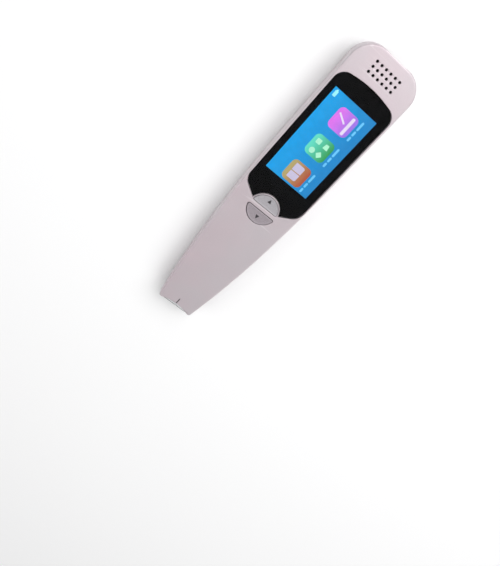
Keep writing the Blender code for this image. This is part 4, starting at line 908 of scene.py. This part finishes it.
def power_cutters():
    side = half_width(POWER_Y)
    flange_face = POWER_LOW.x + POWER_FLANGE_THICK
    rings = [sideways(power_outline(BUTTON_CLEARANCE), side - 3 * SIDE_WALL / 2)]
    for grow, rise in flare(LIP_ROUND):
        rings.append(sideways(power_outline(BUTTON_CLEARANCE + grow), side - LIP_ROUND + rise))
    rings.append(sideways(power_outline(BUTTON_CLEARANCE + LIP_ROUND), side + PAST))
    bay = power_outline(POWER_FLANGE + BUTTON_CLEARANCE)
    bay_rings = [sideways(bay, side - 2 * SIDE_WALL), sideways(bay, flange_face + POWER_FLANGE_ROOM)]
    return [loft("power_slot", rings), loft("power_bay", bay_rings)]


def pointer_rings(width, depth, rim, start, end, top=None):
    """Sections of a round-bottomed bar down the middle of the tip, following the front's slope."""
    slope = 2 * (depth + rim) / width
    rings = []
    for i in range(POINTER_STEPS + 1):
        y = start + (end - start) * i / POINTER_STEPS
        z = front_z(y) + rim
        bottom = arc((0.0, 0.0), width / 2, 180, 360, POINTER_SIDES)
        section = [(x, z + rise * slope) for x, rise in bottom]
        if top is not None:
            section += [(width / 2, front_z(y) + top), (-width / 2, front_z(y) + top)]
        rings.append(standing(section, y))
    return rings


def pointer_cutter():
    rings = pointer_rings(MARK_WIDTH, MARK_DEPTH, MARK_RIM, TIP_Y - PAST, MARK_END, PAST)
    return loft("pointer_groove", rings)


def make_pointer():
    """A dark strip along the bottom of the groove that marks the line being read: painted shade that deepens the
    groove.
    """
    low = TIP_Y + ARCH_DEPTH + SKIN
    rings = pointer_rings(SHADE_STRIP_WIDTH, MARK_DEPTH - SKIN, SHADE_STRIP_RIM, low, MARK_END - SKIN)
    # The ink here is painted shade at the bottom of the groove
    finish_piece(loft("pointer_mark", rings), "mark_ink", "pen", weighted=False)


def make_front_housing():
    seam = SEAM_Z + SEAM_GAP / 2
    groove = SEAM_Z + LIP_HEIGHT + SEAM_GAP
    rings = [body_ring(FRONT_EDGE_R + FLAT_RIM, BODY_THICK)]
    for inset, depth in quarter_round(FRONT_EDGE_R, EDGE_STEPS):
        rings.append(body_ring(inset, BODY_THICK - depth))
    rings += [
        body_ring(0.0, seam + SEAM_BREAK),
        body_ring(SEAM_BREAK, seam),
        body_ring(LIP_INSET, seam),
        body_ring(LIP_INSET, groove),
        body_ring(SIDE_WALL, groove, TIP_WALL),
        body_ring(SIDE_WALL, CEILING_Z, TIP_WALL),
    ]
    housing = loft("front_shell", rings, ladder=True)
    core = [
        body_ring(SIDE_WALL + SKIN, FLOOR_WALL, TIP_WALL + SKIN),
        body_ring(SIDE_WALL + SKIN, CEILING_Z + BURIED, TIP_WALL + SKIN),
    ]
    combine(housing, "UNION", [inner_features("front_housing", core)])
    bay = rectangle(
        SPEAKER_HIGH.x - SPEAKER_LOW.x,
        SPEAKER_HIGH.y - SPEAKER_LOW.y,
        SPEAKER_CORNER_R,
        (0.0, GRILLE_Y),
        -SPEAKER_ROOM,
    )
    window_low = CELL_BOX_LOW.y - RIBBON_ROOM
    window = rectangle(
        CELL_BOX_HIGH.x - CELL_BOX_LOW.x,
        CELL_BOX_HIGH.y - window_low,
        CELL_CORNER_R,
        (0.0, (CELL_BOX_HIGH.y + window_low) / 2),
        -CELL_CLEARANCE,
    )
    cut(
        housing,
        pocket_cutter(),
        plate("display_window", window, CEILING_Z - PAST, BODY_THICK),
        plate("speaker_bay", bay, CEILING_Z - PAST, BODY_THICK - GRILLE_WALL),
        button_hole_cutter("upper_hole", 1, UPPER_HOLE_R),
        button_hole_cutter("lower_hole", -1, LOWER_HOLE_R),
        grille_cutter(),
        *power_cutters(),
        pointer_cutter(),
        *end_cutters(),
    )
    finish_piece(housing, "body_paint", "pen", ["front_housing"])


def button_place(way, outline):
    """Turns an outline about the pair's middle into the upper button's place, or the lower one's."""
    return [(way * x, BUTTON_Y + way * y) for x, y in outline]


def button_hole_cutter(name, way, hole_r):
    def outline(inset):
        return button_place(way, half_round_outline(hole_r, inset))

    return flared_cutter(name, outline, CEILING_Z - PAST, BODY_THICK)


def make_rear_housing():
    seam = SEAM_Z - SEAM_GAP / 2
    lip_inset = LIP_INSET + LIP_CLEARANCE
    lip_top = SEAM_Z + LIP_HEIGHT
    inner_r = BACK_EDGE_R - SIDE_WALL
    rings = [body_ring(BACK_EDGE_R + FLAT_RIM, 0.0)]
    for inset, height in quarter_round(BACK_EDGE_R, BACK_EDGE_STEPS):
        rings.append(body_ring(inset, height))
    rings += [
        body_ring(0.0, seam - SEAM_BREAK),
        body_ring(SEAM_BREAK, seam),
        body_ring(lip_inset, seam),
        body_ring(lip_inset, lip_top - SEAM_BREAK),
        body_ring(lip_inset + SEAM_BREAK, lip_top),
        body_ring(SIDE_WALL, lip_top, TIP_WALL),
    ]
    core = [body_ring(SIDE_WALL + SKIN, CEILING_Z, TIP_WALL + SKIN)]
    for inset, height in reversed(quarter_round(inner_r, BACK_EDGE_STEPS)):
        rings.append(body_ring(SIDE_WALL + inset, FLOOR_WALL + height, TIP_WALL + inset))
        core.append(
            body_ring(SIDE_WALL + SKIN + inset, FLOOR_WALL - BURIED + height, TIP_WALL + SKIN + inset)
        )
    housing = loft("rear_shell", rings, ladder=True)
    combine(housing, "UNION", [inner_features("rear_housing", core)])
    cut(housing, rear_hole_cutter(), *end_cutters())
    finish_piece(housing, "body_paint", "pen", ["rear_housing"])


def rear_hole_cutter():
    """The microphone's hole and the stepped screw holes."""
    shape = bmesh.new()
    mic_z = sum(corner.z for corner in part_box("microphone")) / 2
    mic_start = (MIC_X, TOP_Y - 2 * SIDE_WALL, mic_z)
    turned(shape, [(MIC_HOLE_R, 0.0), (MIC_HOLE_R, 4 * SIDE_WALL)], mic_start, (0, 1, 0))
    shank_r = SCREW_SHANK_R + SCREW_CLEARANCE
    for name in SCREW_NAMES:
        low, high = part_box(name)
        place = ((low.x + high.x) / 2, (low.y + high.y) / 2, 0.0)
        head_r = (high.x - low.x) / 2 + SCREW_CLEARANCE
        seat = low.z + SCREW_HEAD_THICK
        face = back_z(place[1])
        profile = [
            (head_r + LIP_ROUND, -PAST),
            (head_r + LIP_ROUND, face),
            (head_r, face + LIP_ROUND),
            (head_r, seat),
            (shank_r, seat),
            (shank_r, SEAM_Z + PAST),
        ]
        turned(shape, profile, place, (0, 0, 1))
    return new_object("screw_holes", shape)


# ---------------------------------------------------------------- glass and screen


def notch_cutter(name, radius, low, high):
    shape = bmesh.new()
    turned(shape, [(radius, low - PAST), (radius, high + PAST)], (0.0, BUTTON_Y, 0.0), (0, 0, 1), RING_SIDES)
    return new_object(name, shape)


def make_glass():
    low, high = GLASS_BOX_LOW.z, GLASS_BOX_HIGH.z
    glass = plate("front_glass", glass_outline, low, high, GLASS_EDGE)
    cut(glass, notch_cutter("glass_notch", NOTCH_R + GLASS_CLEARANCE, low, high))
    finish_piece(glass, "cover_glass", "pen", ["cover_glass"])


def make_film():
    """The black print behind the glass, open over the screen."""
    low, high = FILM_BOX_LOW.z, FILM_BOX_HIGH.z
    film = plate("glass_print", glass_outline(GLASS_EDGE), low, high)
    window = rectangle(SCREEN_WIDTH, SCREEN_LENGTH, LEAST_R, (SCREEN_X, SCREEN_Y), -SCREEN_SHOWN, SMALL_STEPS)
    cut(
        film,
        notch_cutter("film_notch", NOTCH_R + 2 * GLASS_CLEARANCE, low, high),
        plate("film_window", window, low - PAST, high + PAST),
    )
    finish_piece(film, "black_film", "pen", ["border_film"], weighted=False)


def screen_patch(name, outlines, layer, material):
    """Lit shapes of one kind on the screen, given in millimetres from its middle."""
    shape = bmesh.new()
    low = PICTURE_Z + layer * LAYER
    for outline in outlines:
        placed = [(SCREEN_X + x * MM, SCREEN_Y + y * MM) for x, y in outline]
        add_loft(shape, [at(placed, low), at(placed, low + LAYER / 2)])
    finish_piece(new_object(name, shape), material, "pen", weighted=False)


def lit(name, start, end, middle=0.0, size=SCREEN_WIDTH / MM):
    """A material that runs between two colours across a patch this wide, in millimetres."""
    left = SCREEN_X + (middle - size / 2) * MM
    right = SCREEN_X + (middle + size / 2) * MM
    MATERIALS[name] = glowing(name, start, end, left, right)
    return name


def bar(x, y, width, length, radius):
    return rectangle(width, length, radius, (x, y), steps=BAR_STEPS)


def slanted_bar(start, end, width):
    """A straight stroke with square ends."""
    start, end = Vector(start), Vector(end)
    along = (end - start).normalized() * width / 2
    side = Vector((-along.y, along.x))
    return [tuple(start - side), tuple(end - side), tuple(end + side), tuple(start + side)]


def make_picture():
    """A home screen that runs along the pen: three tiles, each with a broken label bar, and a battery."""
    sky = lit("screen_blue", (0.012, 0.380, 0.86), (0.018, 0.245, 0.60))
    whole = bar(0.0, 0.0, SCREEN_WIDTH / MM, SCREEN_LENGTH / MM, LEAST_R / MM)
    screen_patch("screen_background", [whole], 0, sky)
    pink = lit("tile_pink", (0.78, 0.19, 0.90), (0.26, 0.20, 0.84), TILE_X + 1.5, TILE_SIZE)
    green = lit("tile_green", (0.14, 0.78, 0.62), (0.045, 0.36, 0.085), TILE_X, TILE_SIZE)
    amber = lit("tile_amber", (0.50, 0.43, 0.18), (0.46, 0.085, 0.040), TILE_X, TILE_SIZE)
    names = ("translate_tile", "words_tile", "book_tile")
    for name, y, material in zip(names, TILE_PLACES, (pink, green, amber)):
        tile = rectangle(TILE_SIZE, TILE_SIZE, TILE_ROUND, (TILE_X, y))
        screen_patch(name, [tile], 1, material)
    white = lit("mark_white", (0.86, 0.76, 0.98), (0.86, 0.76, 0.98))
    mint = lit("mark_mint", (0.40, 0.90, 0.72), (0.52, 0.98, 0.66))
    paper = lit("mark_paper", (0.58, 0.55, 0.80), (0.66, 0.58, 0.74))
    pale = lit("mark_pale", (0.16, 0.60, 0.98), (0.16, 0.60, 0.98))
    cyan = lit("mark_cyan", (0.36, 0.93, 1.00), (0.36, 0.93, 1.00))
    first, second, third = TILE_PLACES
    screen_patch("translate_marks", stroke_marks(first), 2, white)
    screen_patch("words_marks", word_marks(second), 2, mint)
    screen_patch("book_marks", book_marks(third), 2, paper)
    screen_patch("label_bars", label_bars(), 2, pale)
    battery = bar(BATTERY_X, BATTERY_Y, 1.5, 2.6, 0.3)
    terminal = bar(BATTERY_X, BATTERY_Y + 1.5, 0.8, 0.5, 0.15)
    screen_patch("battery_mark", [battery, terminal], 2, cyan)


def label_bars():
    """A row of dashes beside each tile, in place of words."""
    labels = []
    for y, start in zip(TILE_PLACES, LABEL_STARTS):
        for length in LABEL_DASHES:
            labels.append(bar(LABEL_X, y + start - length / 2, LABEL_WIDTH, length, LABEL_ROUND))
            start -= length + LABEL_GAP
    return labels


def stroke_marks(y):
    """A pen's stroke beside a long bar."""
    return [bar(3.4, y - 0.1, 1.4, 8.4, 0.5), slanted_bar((-2.9, y + 2.2), (1.5, y - 0.3), 0.75)]


def word_marks(y):
    """Four small solid shapes in a square."""
    square = bar(-1.4, y + 2.0, 2.3, 2.3, 0.4)
    wedge = [(1.5, y + 0.9), (3.9, y + 0.9), (3.5, y + 3.2), (1.9, y + 3.2)]
    disc = arc((-1.2, y - 2.5), 1.3, 0, 360 - 360 / DISC_SIDES, DISC_SIDES - 1)
    diamond = [(2.4, y - 4.0), (3.9, y - 2.4), (2.4, y - 0.8), (0.9, y - 2.4)]
    return [square, wedge, disc, diamond]


def book_marks(y):
    """An open book, lying along the pen, with a gap for its spine."""
    upper = [(-2.1, y + 0.2), (2.5, y + 0.3), (2.5, y + 3.3), (1.9, y + 3.8), (-2.1, y + 3.8)]
    lower = [(-2.1, y - 3.4), (1.9, y - 3.4), (2.5, y - 2.9), (2.5, y - 0.1), (-2.1, y - 0.2)]
    return [upper, lower]


# ---------------------------------------------------------------- buttons


def make_round_button(name, way, hole_r, clearance, arrow_place, material):
    """A half-round cap with a rounded edge and a slightly dished top, over its flange."""
    low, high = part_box(name)

    def ring(inset, z):
        return at(button_place(way, half_round_outline(hole_r, inset)), z)

    def arrow(inset):
        return button_place(way, arrow_outline(arrow_place, inset))

    flange_top = low.z + BUTTON_FLANGE_THICK
    rings = [ring(-BUTTON_FLANGE, low.z), ring(-BUTTON_FLANGE, flange_top), ring(clearance, flange_top)]
    for inset, depth in reversed(quarter_round(BUTTON_ROUND, EDGE_STEPS)):
        rings.append(ring(clearance + inset, high.z - depth))
    for step, sink in enumerate((0.0, 0.5, 1.0)):
        rings.append(ring(clearance + (step + 2) * BUTTON_ROUND, high.z - sink * BUTTON_DISH))
    button = loft(name + "_cap", rings)
    recess = high.z - BUTTON_DISH - ARROW_DEPTH
    cut(button, plate(name + "_recess", arrow(0.0), recess, high.z + PAST))
    finish_piece(button, material, name, [name])
    inlay = plate(name + "_arrow", arrow(SKIN), recess + SKIN, recess + ARROW_DEPTH)
    finish_piece(inlay, "mark_ink", name, weighted=False)


def arrow_outline(middle, inset):
    """A small triangle that points away from the bar between the buttons, with soft corners."""
    tip = middle + ARROW_LENGTH / 2
    foot = middle - ARROW_LENGTH / 2
    points = ((-ARROW_WIDTH / 2, foot), (ARROW_WIDTH / 2, foot), (0.0, tip))
    return rounded_outline([(x, y, ARROW_ROUND) for x, y in points], inset, SMALL_STEPS)


def make_power_button():
    """The pill in the side wall, with its flange inside the wall."""
    flange_face = POWER_LOW.x + POWER_FLANGE_THICK
    rings = [
        sideways(power_outline(POWER_FLANGE), POWER_LOW.x),
        sideways(power_outline(POWER_FLANGE), flange_face),
        sideways(power_outline(0.0), flange_face),
    ]
    for inset, depth in reversed(quarter_round(BUTTON_ROUND, EDGE_STEPS)):
        rings.append(sideways(power_outline(-inset), POWER_HIGH.x - depth))
    button = loft("power_key", rings)
    finish_piece(button, "button_paint", "power_button", ["power_button"])


# ---------------------------------------------------------------- ends


def make_nib():
    """The clear sleeve, its mouth rounded where it slides on the page."""
    middle = (0.0, AXIS_Z)

    def sleeve(inset):
        return rectangle(NIB_WIDTH, NIB_HEIGHT, NIB_CORNER_R, middle, inset)

    lift = (NIB_FLANGE_RISE - NIB_FLANGE_DROP) / 2
    flange = rectangle(
        NIB_WIDTH + 2 * NIB_FLANGE,
        NIB_HEIGHT + NIB_FLANGE_RISE + NIB_FLANGE_DROP,
        NIB_CORNER_R,
        (0.0, AXIS_Z + lift),
    )
    shoulder = NIB_HIGH.y - NIB_FLANGE_THICK
    mouth = quarter_round(NIB_ROUND, FLARE_STEPS)
    rings = [standing(sleeve(NIB_WALL - inset), NIB_LOW.y + depth) for inset, depth in reversed(mouth)]
    rings += [standing(sleeve(inset), NIB_LOW.y + depth) for inset, depth in mouth]
    rings += [
        standing(sleeve(0.0), shoulder),
        standing(flange, shoulder),
        standing(flange, NIB_HIGH.y),
        standing(sleeve(NIB_WALL), NIB_HIGH.y),
    ]
    nib = loft("clear_nib", rings, ring_shaped=True)
    finish_piece(nib, "clear_plastic", "nib", ["nib"])


def make_nib_springs():
    """Coil springs, each wound within its imported spring's box."""
    for side in ("left", "right"):
        node = f"nib_spring_{side}"
        low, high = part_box(node)
        spring = coil(f"coil_spring_{side}", low, high)
        finish_piece(spring, "spring_steel", "pen", [node], weighted=False)
        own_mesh(spring)


def coil(name, low, high):
    """Wire wound about Y within a box."""
    middle_x, middle_z = (low.x + high.x) / 2, (low.z + high.z) / 2
    coil_r = (high.x - low.x) / 2 - SPRING_WIRE_R
    start, end = low.y + SPRING_WIRE_R, high.y - SPRING_WIRE_R
    count = int(SPRING_TURNS * COIL_STEPS)
    curve = bpy.data.curves.new(name, "CURVE")
    curve.dimensions = "3D"
    curve.bevel_depth = SPRING_DRAWN_R
    curve.bevel_resolution = WIRE_STEPS
    curve.use_fill_caps = True
    spline = curve.splines.new("POLY")
    spline.points.add(count)
    for i, point in enumerate(spline.points):
        turn = 2 * math.pi * i / COIL_STEPS
        y = start + (end - start) * i / count
        point.co = (middle_x + coil_r * math.cos(turn), y, middle_z + coil_r * math.sin(turn), 1.0)
    source = bpy.data.objects.new(name + "_curve", curve)
    bpy.context.scene.collection.objects.link(source)
    graph = bpy.context.evaluated_depsgraph_get()
    mesh = bpy.data.meshes.new_from_object(source.evaluated_get(graph))
    bpy.data.objects.remove(source)
    shape = bmesh.new()
    shape.from_mesh(mesh)
    bmesh.ops.remove_doubles(shape, verts=shape.verts, dist=MERGE_WITHIN)
    return new_object(name, shape)


def make_port_shell():
    """The charging port's drawn shell with its rolled mouth."""
    mouth = quarter_round(PORT_WALL / 2, FLARE_STEPS)
    rings = [standing(port_outline(0.0), PORT_LOW.y)]
    for inset, depth in reversed(mouth):
        rings.append(standing(port_outline(inset), PORT_HIGH.y - depth))
    for inset, depth in mouth[1:]:
        rings.append(standing(port_outline(PORT_WALL - inset), PORT_HIGH.y - depth))
    rings.append(standing(port_outline(PORT_WALL), PORT_LOW.y + PORT_WALL))
    finish_piece(loft("port_shell", rings), "steel", "pen", ["usb_shell"])


def make_port_tongue():
    """The tongue in the port, with its contacts."""
    width = TONGUE_HIGH.x - TONGUE_LOW.x

    def section(inset):
        height = TONGUE_HIGH.z - TONGUE_LOW.z
        return rectangle(width, height, TONGUE_CORNER_R, (0.0, SEAM_Z), inset, SMALL_STEPS)

    rings = []
    for inset, depth in quarter_round(TONGUE_ROUND, FLARE_STEPS):
        rings.append(standing(section(inset), TONGUE_HIGH.y - depth))
    rings.append(standing(section(0.0), TONGUE_LOW.y))
    tongue = loft("port_tongue", rings)
    finish_piece(tongue, "black_plastic", "pen", ["usb_tongue"])
    shape = bmesh.new()
    pitch = width / (CONTACTS + 1)
    start, end = TONGUE_LOW.y + CONTACT_FROM_ROOT, TONGUE_HIGH.y - CONTACT_FROM_MOUTH
    corners = ((-1, -1), (1, -1), (1, 1), (-1, 1))
    for i in range(CONTACTS):
        x = (i - (CONTACTS - 1) / 2) * pitch
        for z in (TONGUE_LOW.z, TONGUE_HIGH.z):
            strip = [(x + side * pitch / 4, z + way * CONTACT_THICK / 2) for side, way in corners]
            add_loft(shape, [standing(strip, start), standing(strip, end)])
    finish_piece(new_object("port_contacts", shape), "contact_gold", "pen", weighted=False)


def make_screws():
    """Case screws with a domed head, a cross drive and a threaded shank."""
    for name in SCREW_NAMES:
        low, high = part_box(name)
        x, y = (low.x + high.x) / 2, (low.y + high.y) / 2
        head_r = (high.x - low.x) / 2
        shape = bmesh.new()
        profile = [(head_r - inset, depth) for inset, depth in quarter_round(SCREW_DOME, EDGE_STEPS)]
        profile += [(head_r, SCREW_HEAD_THICK), (SCREW_ROOT_R, SCREW_HEAD_THICK)]
        along = SCREW_HEAD_THICK + SCREW_PITCH / 2
        end = high.z - low.z
        while along < end - SCREW_PITCH:
            profile += [(SCREW_SHANK_R, along), (SCREW_ROOT_R, along + SCREW_PITCH / 2)]
            along += SCREW_PITCH
        profile.append((SCREW_POINT_R, end))
        turned(shape, profile, (x, y, low.z), (0, 0, 1))
        screw = new_object(name.replace("case", "cross"), shape)
        reach = head_r * DRIVE_REACH_SHARE
        drives = []
        for a, b in ((reach, DRIVE_SLOT / 2), (DRIVE_SLOT / 2, reach)):
            outline = rectangle(2 * a, 2 * b, DRIVE_SLOT / 4, (x, y), steps=DRIVE_STEPS)
            drives.append(plate(f"drive_{len(drives)}", outline, low.z - PAST, low.z + DRIVE_DEPTH))
        cut(screw, *drives)
        finish_piece(screw, "steel", "pen", [name])


# ---------------------------------------------------------------- carried-over parts


def dress_inner_parts():
    """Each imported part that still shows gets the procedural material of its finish."""
    for name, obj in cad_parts.items():
        if obj.hide_render:
            continue
        finish = obj.material_slots[0].material.name.split(".")[0]
        if name == "speaker_mesh":
            finish = "speaker_cloth"
        for slot in obj.material_slots:
            slot.material = MATERIALS[finish]


# ---------------------------------------------------------------- room, light and camera


def make_floor():
    shape = bmesh.new()
    bmesh.ops.create_grid(shape, x_segments=1, y_segments=1, size=FLOOR_SIZE / 2)
    floor = new_object("floor", shape)
    nodes = Nodes("floor")
    base = nodes.blend(nodes.noise(0.4, 2.0), (0.86, 0.86, 0.865), (0.88, 0.88, 0.88))
    nodes.set(Base_Color=base, Roughness=0.85, Specular_IOR_Level=0.2)
    floor.data.materials.append(nodes.material)


def area_light(name, power, size, azimuth, elevation, distance):
    """A square soft light that faces the pen."""
    data = bpy.data.lights.new(name, "AREA")
    data.energy = power
    data.size = size
    light = bpy.data.objects.new(name, data)
    bpy.context.scene.collection.objects.link(light)
    back = direction(math.radians(azimuth), math.radians(elevation))
    light.location = back * distance
    light.rotation_euler = back.to_track_quat("Z", "Y").to_euler()


def direction(azimuth, elevation):
    """The way back from the pen at an azimuth and an elevation."""
    flat = math.cos(elevation)
    return Vector((math.sin(azimuth) * flat, -math.cos(azimuth) * flat, math.sin(elevation)))


def make_lights():
    for light in LIGHTS:
        area_light(*light)
    world = bpy.data.worlds.new("studio")
    world.use_nodes = True
    background = world.node_tree.nodes["Background"]
    background.inputs["Color"].default_value = (1.0, 1.0, 1.0, 1.0)
    background.inputs["Strength"].default_value = WORLD_STRENGTH
    bpy.context.scene.world = world


def make_camera():
    data = bpy.data.cameras.new("camera")
    data.lens = CAMERA_LENS
    data.clip_start = CAMERA_NEAR
    data.clip_end = CAMERA_FAR
    camera = bpy.data.objects.new("camera", data)
    bpy.context.scene.collection.objects.link(camera)
    back = direction(CAMERA_AZIMUTH, CAMERA_ELEVATION)
    up_hint = Matrix.Rotation(IMAGE_UP_TURN, 3, "Z") @ Vector((0.0, 1.0, 0.0))
    right = up_hint.cross(back).normalized()
    up = back.cross(right)
    turn = Matrix((right, up, back)).transposed()
    camera.location = CAMERA_AIM + back * CAMERA_DISTANCE
    camera.rotation_euler = turn.to_euler()
    bpy.context.scene.camera = camera


def make_scene():
    make_camera()
    make_front_housing()
    make_rear_housing()
    make_glass()
    make_film()
    make_picture()
    make_round_button("upper_button", 1, UPPER_HOLE_R, BUTTON_CLEARANCE, UPPER_ARROW, "button_paint")
    # The lower button takes the darker copy of the button paint: painted shade
    make_round_button("lower_button", -1, LOWER_HOLE_R, LOWER_CLEARANCE, LOWER_ARROW, "lower_button_shaded_paint")
    make_power_button()
    make_pointer()
    make_nib()
    make_nib_springs()
    make_port_shell()
    make_port_tongue()
    make_screws()
    dress_inner_parts()
    make_floor()
    make_lights()
    bpy.context.scene.view_settings.view_transform = "Standard"


make_scene()
